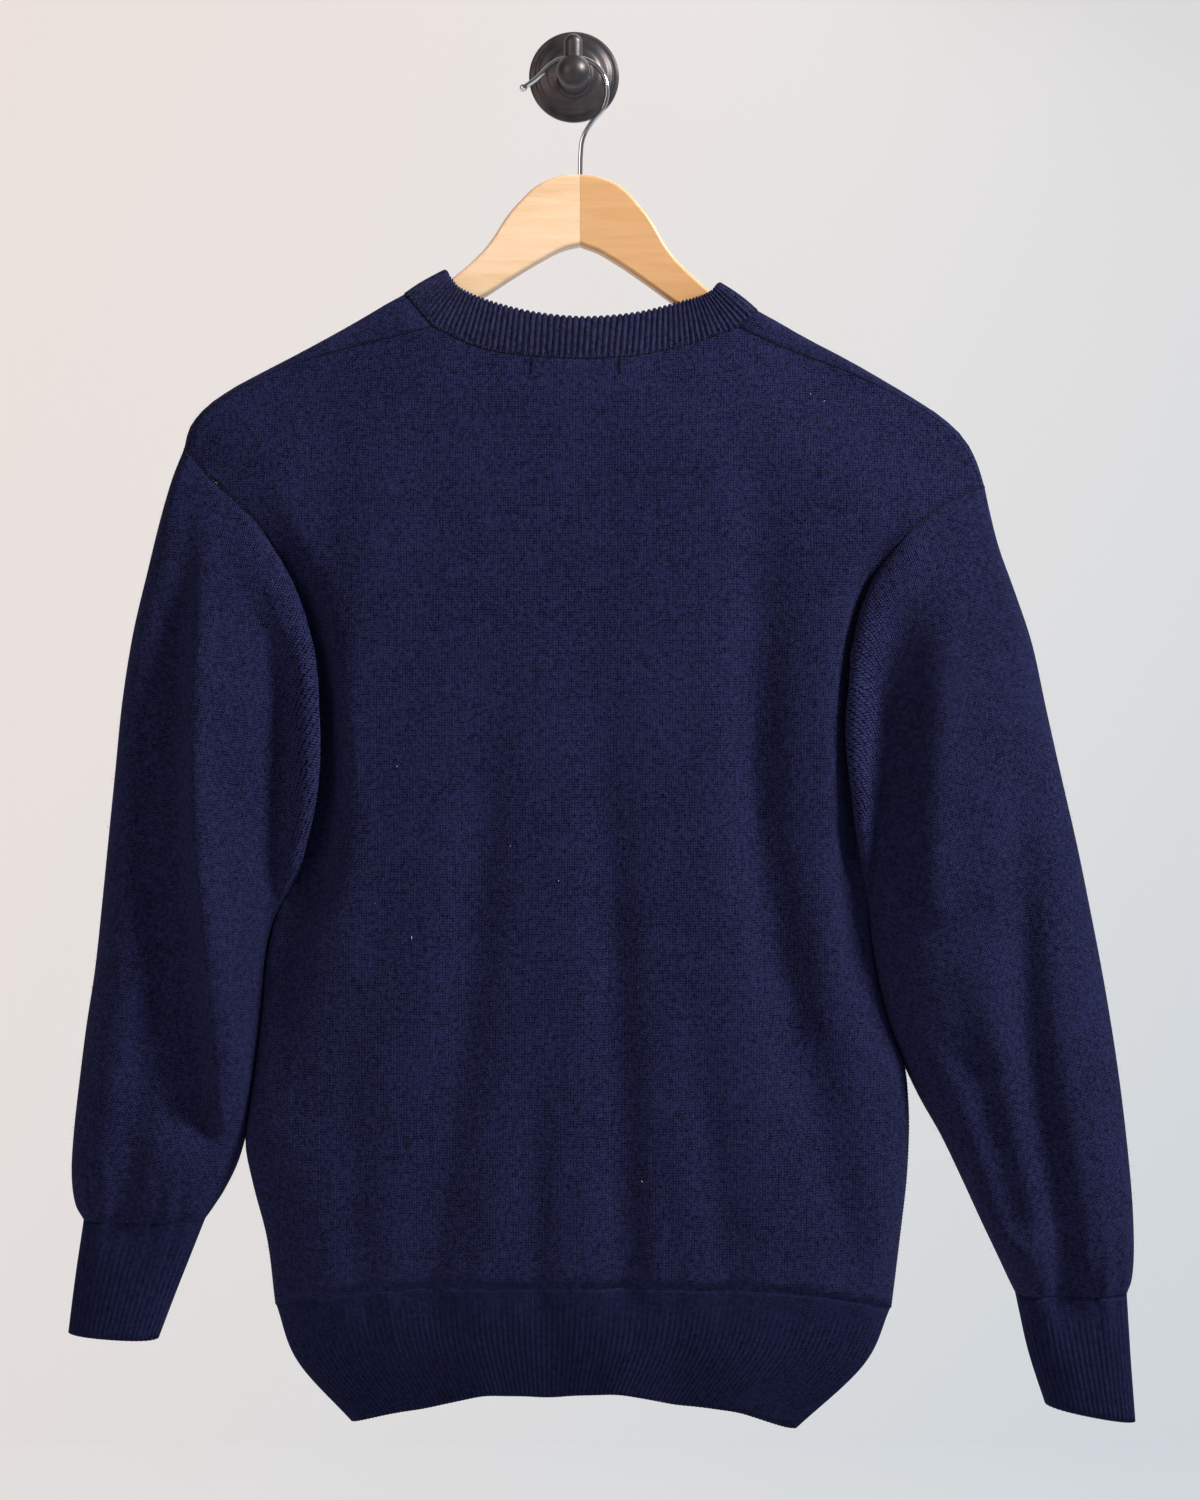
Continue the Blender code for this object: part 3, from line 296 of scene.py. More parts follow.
# The neck's rows on the back panel, and the one at the right crossing.
BACK_STATIONS = slice(1, 8)
RIGHT_RIDGE_STATION = 8
DEPTH = table(
    "z middle back front",
    (-120, -30, 24, 19), (-230, -31, 27, 20), (-300, -33, 31, 22), (-400, -36, 35, 25),
    (-500, -39, 36, 27), (-600, -41, 37, 29), (-680, -42, 38, 30), (-740, -41, 35, 27),
    (-780, -39.5, 29, 22), (-815, -38.5, 23, 17),
)
ARMHOLE_DEPTH = table("up back front", (0, 0, 0), (0.07, 8, 7), (0.2, 15, 13), (0.4, 19, 16),
                      (0.6, 22, 18), (0.8, 25, 19), (1, 27, 20))
# The hem rib's upper edge, middle and lower edge. Fullness squares the line between its ends.
HEM = table(
    "left_x left_z middle_z right_x right_z fullness",
    (-177, -740, -724, 189, -742, 4.0),
    (-164, -774, -757, 173, -776, 3.0),
    (-132, -810, -788, 133, -814, 2.2),
)
SLEEVE = "outer_x outer_z inner_x inner_z middle back front armhole"
LEFT_SLEEVE = table(
    SLEEVE,
    (-233, -231, -163, -488, -33, 27, 20, 1.00),
    (-240, -250, -166, -490, -34, 31, 22, 0.80),
    (-247, -276, -169, -493, -35, 35, 23, 0.60),
    (-254, -306, -172, -499, -36, 37, 24, 0.42),
    (-262, -342, -175.5, -507, -37, 38, 25, 0.28),
    (-268, -382, -178.5, -516, -38, 38, 26, 0.16),
    (-272, -424, -181, -528, -39, 37, 26, 0.08),
    (-276, -466, -182.5, -543, -40, 35, 26, 0.03),
    (-280, -506, -183.5, -560, -40, 33, 26, 0),
    (-284, -542, -185.5, -581, -40, 31, 26, 0),
    (-289, -574, -188.5, -605, -40, 29, 25, 0),
    (-293, -605, -193, -632, -40, 27, 24, 0),
    (-296.5, -636, -199, -655, -40, 26, 23, 0),
    (-298, -662, -207, -672, -40, 25, 22, 0),
    (-296, -680, -214, -683, -40, 22, 20, 0),
    (-291, -690, -219, -690, -40, 18, 17, 0),
)
RIGHT_SLEEVE = table(
    SLEEVE,
    (246, -254, 175, -477, -33, 27, 20, 1.00),
    (249, -270, 176.5, -482, -34, 31, 22, 0.80),
    (254, -291, 176.5, -489, -35, 35, 23, 0.60),
    (263, -317, 176, -498, -36, 37, 24, 0.42),
    (273, -348, 175.5, -510, -37, 38, 25, 0.28),
    (281, -386, 176, -525, -38, 38, 26, 0.16),
    (290, -427, 178.5, -542, -39, 37, 26, 0.08),
    (299, -467, 182.5, -560, -40, 36, 26, 0.03),
    (307, -506, 188, -578, -40, 34, 26, 0),
    (314, -542, 196, -597, -40, 32, 26, 0),
    (320, -577, 206, -618, -40, 30, 25, 0),
    (325, -611, 219, -641, -40, 28, 24, 0),
    (329, -645, 231.5, -667, -40, 27, 23, 0),
    (332, -678, 243, -692, -40, 26, 22, 0),
    (333, -706, 252.5, -712, -40, 25, 21, 0),
    (332, -724, 259, -726, -40, 22, 19, 0),
    (329, -734, 263, -734, -40, 18, 17, 0),
)
CUFF = "outer_x outer_z inner_x inner_z middle back front"
LEFT_CUFF = table(CUFF, (-296, -725, -234, -727, -40, 15, 14), (-300, -757, -247, -761, -40, 14, 13))
RIGHT_CUFF = table(CUFF, (331, -769, 271, -769, -40, 15, 14), (334, -810, 281, -800, -40, 14, 13))
# How far the body's sides are let out, to lie under the sleeves.
SIDE_OUT = table("z out", (-690, 0), (-655, 2), (-600, 2.6), (-540, 2.6), (-510, 1.8), (-488, 0))
LEFT_SIDE["x"] = LEFT_SIDE["x"] - np.interp(LEFT_SIDE["z"], SIDE_OUT["z"], SIDE_OUT["out"])
RIGHT_SIDE["x"] = RIGHT_SIDE["x"] + np.interp(RIGHT_SIDE["z"], SIDE_OUT["z"], SIDE_OUT["out"])
print("tables for the outline, depths, neck, hem and sleeves")

# %% [markdown]
# A fold runs from its start over its middle to its end, and has a width and a depth. It
# presses the cloth in, or lifts it where the depth is negative. The valleys are where the body
# lies low beside the sleeves that hang over it: how much of it, and how far in from the seam.

# %% Folds
FOLD = "start_x start_z middle_x middle_z end_x end_z width depth"
BACK_FOLDS = table(
    FOLD,
    (116, -255, 108, -440, 165, -715, 15, 9.0),
    (150, -300, 152, -430, 150, -560, 12, -3.0),
    (-48, -380, -60, -540, -84, -722, 15, 5.5),
    (16, -395, 25, -560, 31, -722, 13, 5.5),
    (-150, -232, -148, -290, -140, -350, 13, 5.5),
    (72, -560, 80, -640, 92, -722, 11, 3.5),
    (-20, -600, -22, -660, -21, -722, 9, 3.0),
    (-128, -560, -130, -640, -122, -722, 10, 3.5),
)
FRONT_FOLDS = table(
    FOLD,
    (-96, -260, -104, -450, -128, -722, 15, 6.0),
    (-8, -390, -2, -560, -12, -722, 14, 5.0),
    (92, -330, 84, -520, 104, -722, 14, 5.5),
    (48, -600, 50, -660, 44, -722, 10, 3.0),
)
LEFT_SLEEVE_FOLDS = table(
    FOLD,
    (-211, -268, -217, -400, -192, -640, 9, -4.0),
    (-236, -300, -246, -440, -232, -620, 16, 8.0),
    (-250, -560, -256, -620, -262, -682, 10, 4.0),
)
RIGHT_SLEEVE_FOLDS = table(
    FOLD,
    (232, -276, 214, -380, 208, -500, 13, -3.5),
    (262, -430, 266, -570, 293, -728, 12, 6.0),
    (222, -560, 242, -620, 262, -690, 10, 3.5),
)
BACK_CREASES = table(
    FOLD,
    (-96, -640, -94, -690, -100, -722, 5, 1.6),
    (-62, -655, -60, -695, -64, -722, 4.5, 1.3),
    (52, -650, 56, -690, 60, -724, 5, 1.5),
    (116, -600, 128, -660, 132, -728, 6, 1.8),
    (-136, -330, -128, -430, -134, -540, 9, -2.2),
    (10, -205, 14, -300, 8, -380, 16, 1.2),
    (-74, -190, -88, -270, -96, -360, 13, 1.3),
    (86, -186, 100, -250, 104, -330, 9, 1.6),
    (-30, -640, -34, -690, -40, -722, 5, 1.4),
    (116, -280, 109, -430, 150, -620, 13, 3.0),
    (-172, -500, -166, -560, -160, -620, 16, 4.0),
)
FRONT_CREASES = table(
    FOLD,
    (-60, -640, -62, -690, -70, -722, 5, 1.5),
    (20, -640, 22, -690, 24, -724, 5, 1.3),
    (74, -620, 82, -670, 86, -724, 6, 1.6),
    (-40, -280, -52, -360, -50, -450, 14, 1.2),
    (120, -300, 128, -420, 132, -540, 9, -2.0),
)
LEFT_SLEEVE_CREASES = table(
    FOLD,
    (-206, -560, -226, -590, -250, -600, 7, 2.2),
    (-200, -500, -222, -520, -250, -520, 8, 1.6),
    (-284, -640, -280, -665, -284, -690, 4, 2.0),
    (-272, -646, -269, -668, -270, -690, 4, 1.8),
    (-244, -650, -242, -672, -246, -690, 4, 1.8),
    (-230, -656, -230, -674, -232, -690, 3.5, 1.5),
    (-214, -236, -219.5, -440, -205, -634, 5, -3.5),
    (-226, -250, -231, -440, -217, -634, 8, 6.0),
)
RIGHT_SLEEVE_CREASES = table(
    FOLD,
    (204, -560, 222, -590, 250, -602, 7, 2.0),
    (194, -500, 216, -516, 244, -514, 8, 1.5),
    (318, -690, 320, -712, 320, -734, 4, 1.8),
    (306, -688, 308, -712, 308, -734, 4, 1.6),
    (282, -700, 284, -716, 285, -734, 4, 1.6),
)
FOLD_GAIN = 1.2
SLEEVE_FOLD_GAIN = 1.6
VALLEY_DEPTH = 9.0
LEFT_VALLEY = table("z share reach", (-640, 0, 20), (-600, 0.25, 20), (-540, 0.5, 21), (-500, 0.8, 22),
                    (-470, 1, 22), (-420, 1, 22), (-370, 1, 21), (-330, 0.9, 19), (-300, 0.5, 17),
                    (-275, 0.15, 15), (-255, 0, 14))
RIGHT_VALLEY = table("z share reach", (-600, 0, 13), (-540, 0.3, 14), (-500, 0.7, 17), (-460, 0.95, 19),
                     (-400, 1, 20), (-330, 0.95, 18), (-300, 0.6, 15), (-280, 0.2, 13), (-262, 0, 13))
print("folds:", len(BACK_FOLDS["depth"]) + len(FRONT_FOLDS["depth"]), "large and",
      len(BACK_CREASES["depth"]) + len(FRONT_CREASES["depth"]), "small on the body")

# %% Curves through the tables
RIDGE_STEPS = 160
FOLD_STEPS = 13
FOLD_START = 0.25


def curve(places, values, at):
    """The smooth curve through values at increasing places, read at other places."""
    slopes = np.gradient(values, places, axis=0)
    i = np.clip(np.searchsorted(places, at, side="right") - 1, 0, len(places) - 2)
    width = places[i + 1] - places[i]
    t = (at - places[i]) / width
    start = 2 * t**3 - 3 * t**2 + 1
    shares = (start, 1 - start, (t**3 - 2 * t**2 + t) * width, (t**3 - t**2) * width)
    parts = (values[i], values[i + 1], slopes[i], slopes[i + 1])
    spread = t.shape + (1,) * (values.ndim - 1)
    return sum(share.reshape(spread) * part for share, part in zip(shares, parts))


def read(tab, column, at, by="z"):
    """A table's column at given places, as a smooth curve through its rows."""
    order = np.argsort(tab[by])
    places = tab[by][order]
    return curve(places, tab[column][order], np.clip(at, places[0], places[-1]))


def fractions(points):
    """How far along the straight steps through all the points each one lies, 0 to 1."""
    steps = np.linalg.norm(np.diff(points, axis=0), axis=1)
    return np.concatenate([[0.0], np.cumsum(steps)]) / steps.sum()


def along(points, at):
    """Points at fractions of the length of a smooth curve through the given points."""
    return curve(fractions(points), points, np.clip(at, 0, 1))


def on_chain(points, at):
    """Points at fractions of the length of straight steps through the given points."""
    places = fractions(points)
    return np.stack([np.interp(at, places, column) for column in points.T], axis=-1)


def plan(tab, first="x", second="z"):
    """A table's rows as points seen straight on."""
    return np.stack([tab[first], tab[second]], axis=-1)


def soft_least(a, b):
    """The lesser of two depths, with the corner between them rounded."""
    return np.maximum(-BLEND * np.log(np.exp(-a / BLEND) + np.exp(-b / BLEND)), 0)


def distance_to_chain(points, chain):
    """How far each point lies from the nearest straight step of a chain."""
    start, end = chain[:-1], chain[1:]
    step = end - start
    length2 = (step**2).sum(-1)
    offset = points[..., None, :] - start
    t = np.clip((offset * step).sum(-1) / length2, 0, 1)
    nearest = start + t[..., None] * step
    return np.linalg.norm(points[..., None, :] - nearest, axis=-1).min(-1)


RIDGE_CHAIN = along(plan(RIDGE), np.linspace(0, 1, RIDGE_STEPS))


def shoulder_depth(xz, slope):
    """How far the cloth stands off the hanger's plane at a point below the shoulder line."""
    away = distance_to_chain(xz, RIDGE_CHAIN)
    turn = np.clip(away / RIDGE_RADIUS, 0, 1)
    return RIDGE_RADIUS * np.sqrt(1 - (1 - turn) ** 2) + slope * np.maximum(away - RIDGE_RADIUS, 0)


def open_depth(xz, side):
    """How far the cloth stands off the middle plane, away from the sides."""
    slope = BACK_SLOPE if side == "back" else FRONT_SLOPE
    return soft_least(shoulder_depth(xz, slope), read(DEPTH, side, xz[..., 1]))


def roundness(across):
    """The body's section: 0 at its sides, 1 in the middle."""
    return (1 - np.abs(2 * across - 1) ** ROUNDNESS) ** (1 / ROUNDNESS)


def fold_depth(xz, folds):
    """The sum of the folds' depths at each point."""
    total = np.zeros(xz.shape[:-1])
    for *places, width, depth in zip(*(folds[name] for name in FOLD.split())):
        three = np.array(places).reshape(3, 2)
        away = distance_to_chain(xz, along(three, np.linspace(0, 1, FOLD_STEPS)))
        from_start = np.linalg.norm(xz - three[0], axis=-1)
        reach = np.linalg.norm(three[1] - three[0])
        fade = np.clip(FOLD_START + from_start / reach, 0, 1)
        total += depth * fade * np.exp(-(away / width) ** 2)
    return total


def finer(places, times):
    """The same places with more between them."""
    return np.interp(np.arange((len(places) - 1) * times + 1) / times, np.arange(len(places)), places)


print("shoulder line:", len(RIDGE_CHAIN), "points")

# %% [markdown]
# Each panel is a grid of points between four curves: the hem, the two sides with their
# armholes, and the shoulder and neck seams. Columns run straight up, and the outer ones bow
# like the sides. The rows are close together at the shoulder, where the cloth turns over the
# hanger, and the grid is several times finer than the solid's.

# %% Panels
SHOULDER_TIMES = 3
NECK_TIMES = 3
ROW_TIMES = 4
SHOULDER_PLACES = finer([0, 0.05, 0.15, 0.31, 0.52, 0.77, 1.0], SHOULDER_TIMES)
SHOULDER_COLUMNS = len(SHOULDER_PLACES)
BACK_SHOULDER = finer([0, 0.013, 0.045, 0.092, 0.148, 0.208, 0.27], SHOULDER_TIMES)
FRONT_SHOULDER = finer([0, 0.010, 0.034, 0.068, 0.110, 0.154, 0.20], SHOULDER_TIMES)
HALF_NECK = np.array([0, 0.010, 0.023, 0.041, 0.068, 0.108, 0.165, 0.245, 0.33, 0.415])
BACK_NECK_PLACES = np.linspace(0, 1, 11 * NECK_TIMES + 4)
FRONT_NECK_PLACES = finer(np.concatenate([HALF_NECK, [0.5], 1 - HALF_NECK[::-1]]), 2)
SIDE_ROWS = np.linspace(0, 1, 9 * ROW_TIMES + 1)
BACK_UP = [0.91, 0.77, 0.62, 0.48, 0.345, 0.24, 0.165, 0.103, 0.062, 0.034, 0.014, 0.0]
FRONT_UP = [0.90, 0.75, 0.60, 0.45, 0.31, 0.205, 0.13, 0.076, 0.041, 0.021, 0.007, 0.0]
BACK_ROWS = 1 - finer([1.0, *BACK_UP], ROW_TIMES)[1:]
FRONT_ROWS = 1 - finer([1.0, *FRONT_UP], ROW_TIMES)[1:]
OVER_ROWS = finer([0, 0.08, 0.29, 0.60, 1.0], 3)[1:]
UNDERARM_UP = 0.49
LAST_SIDE_ROW = len(SIDE_ROWS) - 1
BODY_MIDDLE = np.array([5.0, HANGER_PLANE, -450.0])
FOLD_FULL_DEPTH = 20.0


def columns_across(shoulder, neck_places):
    """Each column's place across the body, from the left side to the right."""
    middle = shoulder[-1] + (1 - 2 * shoulder[-1]) * neck_places[1:-1]
    return np.concatenate([shoulder, middle, 1 - shoulder[::-1]])


BACK_ACROSS = columns_across(BACK_SHOULDER, BACK_NECK_PLACES)
FRONT_ACROSS = columns_across(FRONT_SHOULDER, FRONT_NECK_PLACES)


def bowed_by(edge, rows, up):
    """How far a side edge bows off its own chord, read at given places up it."""
    bow = edge - (1 - rows[:, None]) * edge[0] - rows[:, None] * edge[-1]
    return np.stack([np.interp(up, rows, bow[:, c]) for c in range(2)], axis=-1)


def patch(bottom, top, left, right, across, up):
    """A panel between four curves: columns across run straight up, the outer ones bowed like the sides."""
    first, last = SHOULDER_COLUMNS - 1, -SHOULDER_COLUMNS
    corner_height = np.interp(across, across[[first, last]], top[[first, last], 1])
    height = np.minimum((top[:, 1] - bottom[:, 1]) / (corner_height - bottom[:, 1]), 1)
    height[: first + 1] = 1
    height[last:] = 1
    level = up[:, None] * height[None, :]
    c = across[None, :, None]
    v = up[:, None, None]
    like_left = np.clip(1 - c / across[first], 0, 1)
    like_right = np.clip(1 - (1 - c) / across[first], 0, 1)
    straight = (1 - v) * bottom[None] + v * top[None]
    return straight + like_left * bowed_by(left, up, level) + like_right * bowed_by(right, up, level)


def side_edges(armhole_rows, left_top, right_top):
    """Both side edges of a panel, bottom to top, with the armhole ending at the given points."""
    edges = []
    for side, armhole, top in ((LEFT_SIDE, LEFT_ARMHOLE, left_top), (RIGHT_SIDE, RIGHT_ARMHOLE, right_top)):
        lower = along(plan(side), SIDE_ROWS)
        path = plan(armhole)
        path[-1] = top
        upper = along(path, armhole_rows)
        edges.append(np.concatenate([lower, upper]))
    return edges


def rows_up(armhole_rows):
    """Every row's place up a panel, 0 at the hem and 1 at the shoulder seam."""
    return np.concatenate([UNDERARM_UP * SIDE_ROWS, UNDERARM_UP + (1 - UNDERARM_UP) * armhole_rows])


def hem_curve(row, across):
    """The hem's line at one of its rows, in x and z."""
    h = {name: values[row] for name, values in HEM.items()}
    flat = 1 - np.abs(2 * across - 1) ** h["fullness"]
    ends = h["left_z"] + (h["right_z"] - h["left_z"]) * across
    return np.stack([h["left_x"] + (h["right_x"] - h["left_x"]) * across,
                     ends + (h["middle_z"] - (h["left_z"] + h["right_z"]) / 2) * flat], axis=-1)


def body_depth(xz, across, edge, side):
    """How far a panel stands off the middle plane; edge is its depth along the armhole."""
    slope = BACK_SLOPE if side == "back" else FRONT_SLOPE
    full = read(DEPTH, side, xz[..., 1])
    inner = edge + (full - edge) * roundness(across)
    return soft_least(shoulder_depth(xz, slope), inner)


def stand(xz, depth, side):
    """Points in space from x and z, and how far they stand off the middle plane."""
    towards = -1 if side == "back" else 1
    y = read(DEPTH, "middle", xz[..., 1]) + towards * depth
    return np.stack([xz[..., 0], y, xz[..., 1]], axis=-1)


def edge_depths(armhole_rows, side):
    """The armhole seam's depth at every row of a panel."""
    upper = read(ARMHOLE_DEPTH, side, armhole_rows, by="up")
    return np.concatenate([np.zeros(len(SIDE_ROWS)), upper])


def valley(xz, edge, sizes):
    """How much of a panel beside its edge belongs to the valley that the sleeve lies over, 0 to 1."""
    away = distance_to_chain(xz, xz[:, edge])
    share = np.interp(xz[..., 1], sizes["z"], sizes["share"])
    reach = np.interp(xz[..., 1], sizes["z"], sizes["reach"])
    return share * np.exp(-(away / reach) ** 4)


def folded(depth, xz, across, folds, creases):
    """A panel's depth with its folds pressed in, softer at its sides, and low beside the sleeves."""
    pressed = FOLD_GAIN * fold_depth(xz, folds) + fold_depth(xz, creases)
    depth = depth - pressed * roundness(across)[None, :] ** 2 * np.clip(depth / FOLD_FULL_DEPTH, 0, 1)
    share = np.maximum(valley(xz, 0, LEFT_VALLEY), valley(xz, -1, RIGHT_VALLEY))
    return depth - share * np.maximum(depth - VALLEY_DEPTH, 0)


def panel(side, top, armhole_rows, across, folds, creases):
    """A panel's points seen straight on, and how far each one stands off the middle plane."""
    edges = side_edges(armhole_rows, top[0], top[-1])
    xz = patch(hem_curve(0, across), top, *edges, across, rows_up(armhole_rows))
    depth = body_depth(xz, across[None, :], edge_depths(armhole_rows, side)[:, None], side)
    return xz, folded(depth, xz, across, folds, creases)


def back_skin():
    """The back panel's points, rows up from the hem and columns from left to right."""
    neck = along(plan(NECK, "seam_x", "seam_z")[BACK_STATIONS], BACK_NECK_PLACES)
    left = along(plan(LEFT_SEAM), SHOULDER_PLACES)
    right = along(plan(RIGHT_SEAM), SHOULDER_PLACES)[::-1]
    top = np.concatenate([left[:-1], neck, right[1:]])
    return stand(*panel("back", top, BACK_ROWS, BACK_ACROSS, BACK_FOLDS, BACK_CREASES), "back")


def front_skin():
    """The front panel's points up to the shoulder line and the neck seam between them."""
    ridge = plan(RIDGE)
    seam = plan(NECK, "seam_x", "seam_z")
    neck = along(np.concatenate([seam[RIGHT_RIDGE_STATION:], seam[:1]])[::-1], FRONT_NECK_PLACES)
    left = along(ridge[: LEFT_CROSSING + 1], SHOULDER_PLACES)
    right = along(ridge[RIGHT_CROSSING:][::-1], SHOULDER_PLACES)[::-1]
    top = np.concatenate([left[:-1], neck, right[1:]])
    xz, depth = panel("front", top, FRONT_ROWS, FRONT_ACROSS, FRONT_FOLDS, FRONT_CREASES)
    depth[-1, :SHOULDER_COLUMNS] = 0
    depth[-1, -SHOULDER_COLUMNS:] = 0
    return stand(xz, depth, "front")


def over_shoulder(ridge, seam):
    """The strip of the front panel from the shoulder line back and down to the shoulder seam."""
    rows = [ridge]
    for reach in OVER_ROWS[:-1]:
        xz = (1 - reach) * ridge[:, [0, 2]] + reach * seam[:, [0, 2]]
        rows.append(stand(xz, open_depth(xz, "back"), "back"))
    return np.array([*rows, seam])


back = back_skin()
front = front_skin()
over_left = over_shoulder(front[-1, :SHOULDER_COLUMNS], back[-1, :SHOULDER_COLUMNS])
over_right = over_shoulder(front[-1, -SHOULDER_COLUMNS:], back[-1, -SHOULDER_COLUMNS:])
print("back grid", back.shape[:2], "front grid", front.shape[:2])

# %% [markdown]
# Each sleeve starts on the armhole seam and turns into round sections on its way down to the
# cuff. Just past the seam the hanging sleeve rolls over the body's side and hides part of the
# seam. The roll is worked out from the distance to the seam: the cloth first comes forward and
# inwards, and then goes back to its own line. A low swelling fills the dip behind the roll.

# %% Sleeves
SLEEVE_TIMES = 5
FOLD_RISE_ROWS = 3
FRONT_FOLD_SHARE = 0.6
ROLL_END = 0.8
ROLL_REACH = 10.0
ROLL_RISE = 13.0
FULL_LIFT = 3.0
DIP_PLACE = 22.0
DIP_WIDTH = 13.0
DIP_FILL = 7.0
LEFT_ROLL = table("z over lift", (-500, 0, 2), (-480, 3, 10), (-461, 3, 17), (-423, 6, 20), (-376, 6, 18),
                  (-335, 4, 14), (-300, 2, 8), (-280, 1, 3), (-262, 0, 0))
RIGHT_ROLL = table("z over lift", (-530, 0, 0), (-495, 4, 7), (-450, 9, 15), (-405, 10, 17), (-330, 9, 15),
                   (-300, 6, 8), (-280, 2, 3), (-262, 0, 0))
NO_ROLL = table("z over lift", (-1000, 0, 0), (0, 0, 0))


def section(tab, row, turn):
    """A round section between its outer and inner edge; turn goes 0 to 2 from inner edge over the back."""
    s = {name: values[row] for name, values in tab.items()}
    outer = np.array([s["outer_x"], s["outer_z"]])
    inner = np.array([s["inner_x"], s["inner_z"]])
    angle = math.pi * (1 - turn)
    bend = 2 / SLEEVE_ROUNDNESS
    out = np.sign(np.cos(angle)) * np.abs(np.cos(angle)) ** bend
    off = np.abs(np.sin(angle)) ** bend
    xz = (outer + inner) / 2 + (outer - inner) / 2 * out[:, None]
    y = s["middle"] - np.where(turn <= 1, s["back"], -s["front"]) * off
    return np.stack([xz[:, 0], y, xz[:, 1]], axis=-1)


def between(tab, times):
    """A table with rows added between its own, on the same smooth curves."""
    rows = np.arange(len(tab["outer_x"]), dtype=float)
    fine = finer(rows, times)
    return {name: curve(rows, values, fine) for name, values in tab.items()}


def armhole_ring(up_back, up_front):
    """The armhole's seam points from the underarm up the back, over the shoulder and down the front."""
    down_front = up_front[::-1]
    return np.concatenate([up_back, down_front[1:-1]]), len(up_back)


def ring_turns(ring, up):
    """Each armhole point's place round the section: 0 to 1 over the back, 1 to 2 over the front."""
    steps = np.linalg.norm(np.diff(np.concatenate([ring, ring[:1]]), axis=0), axis=1)
    places = np.concatenate([[0.0], np.cumsum(steps)])
    top = up - 1 + len(OVER_ROWS)
    back = places[: top + 1] / places[top]
    front = 1 + (places[top + 1:-1] - places[top]) / (places[-1] - places[top])
    return np.concatenate([back, front])


def even_turns(count, up):
    """The same number of places, evenly spread over the back and over the front."""
    top = up - 1 + len(OVER_ROWS)
    back = np.linspace(0, 1, top + 1)
    front = np.linspace(1, 2, count - top + 1)[1:-1]
    return np.concatenate([back, front])


def rolled(rings, turns, roll, inwards):
    """The rings with the cloth behind the seam rolled over the body's side."""
    seam = rings[0]
    away = np.linalg.norm(rings - seam[None], axis=-1)
    reach = away / ROLL_REACH
    bump = reach * np.exp(1 - reach)
    rise = away / ROLL_RISE * np.exp(1 - away / ROLL_RISE)
    behind = np.sin(math.pi * np.clip(turns / ROLL_END, 0, 1)) ** 0.5 * (turns < ROLL_END)
    over = np.interp(seam[:, 2], roll["z"], roll["over"])[None, :]
    lift = np.interp(seam[:, 2], roll["z"], roll["lift"])[None, :]
    share = np.clip(lift / FULL_LIFT, 0, 1)
    moved = rings.copy()
    moved[..., 0] += inwards * (over + ROLL_REACH * share) * bump * behind
    filled = DIP_FILL * share * np.exp(-((away - DIP_PLACE) / DIP_WIDTH) ** 2)
    moved[..., 1] -= (lift * rise + filled) * behind
    return moved


def sleeve_skin(tab, folds, creases, roll, inwards, up_back, up_front):
    """A sleeve's points, a ring for each section, the first on the armhole seam."""
    fine = between(tab, SLEEVE_TIMES)
    ring, up = armhole_ring(up_back, up_front)
    own = ring_turns(ring, up)
    even = even_turns(len(ring), up)
    shape = ring - section(fine, 0, own)
    rings = []
    for row, share in enumerate(np.clip(fine["armhole"], 0, 1)):
        turn = share * own + (1 - share) * even
        rings.append(section(fine, row, turn) + share * shape)
    rings = np.array(rings)
    behind = np.sin(math.pi * np.clip(even, 0, 1)) ** 0.5 * (even <= 1)
    in_front = np.sin(math.pi * np.clip(even - 1, 0, 1)) ** 0.5 * (even > 1)
    rise = np.clip(np.arange(len(rings)) / (FOLD_RISE_ROWS * SLEEVE_TIMES), 0, 1)[:, None]
    seen = rings[..., [0, 2]]
    pressed = SLEEVE_FOLD_GAIN * fold_depth(seen, folds) + fold_depth(seen, creases)
    rings[..., 1] += pressed * rise * (behind - FRONT_FOLD_SHARE * in_front)
    rings = rolled(rings, own, roll, inwards)
    return np.concatenate([rings, rings[:, :1]], axis=1)


left_edges = (back[LAST_SIDE_ROW:, 0], np.concatenate([front[LAST_SIDE_ROW:, 0], over_left[1:, 0]]))
right_edges = (back[LAST_SIDE_ROW:, -1], np.concatenate([front[LAST_SIDE_ROW:, -1], over_right[1:, -1]]))
LEFT_SHAPE = (LEFT_SLEEVE, LEFT_SLEEVE_FOLDS, LEFT_SLEEVE_CREASES)
RIGHT_SHAPE = (RIGHT_SLEEVE, RIGHT_SLEEVE_FOLDS, RIGHT_SLEEVE_CREASES)
sleeve_left = sleeve_skin(*LEFT_SHAPE, LEFT_ROLL, 1, *left_edges)
sleeve_right = sleeve_skin(*RIGHT_SHAPE, RIGHT_ROLL, -1, *right_edges)
unrolled_left = sleeve_skin(*LEFT_SHAPE, NO_ROLL, 1, *left_edges)
unrolled_right = sleeve_skin(*RIGHT_SHAPE, NO_ROLL, -1, *right_edges)
print("sleeve grids", sleeve_left.shape[:2], sleeve_right.shape[:2])

# %% [markdown]
# Knit has a grain: wales run down the piece like columns, and courses cross them. The map
# gives each point its place in the flat knit, in metres, so that the stitches keep their real
# size on every piece. Across, it adds up the steps along a row, without their part that runs
# along the grain. Along the grain it is the plain distance down the piece.

# %% Flat knit map and meshes
WELD_REACH = 0.00002


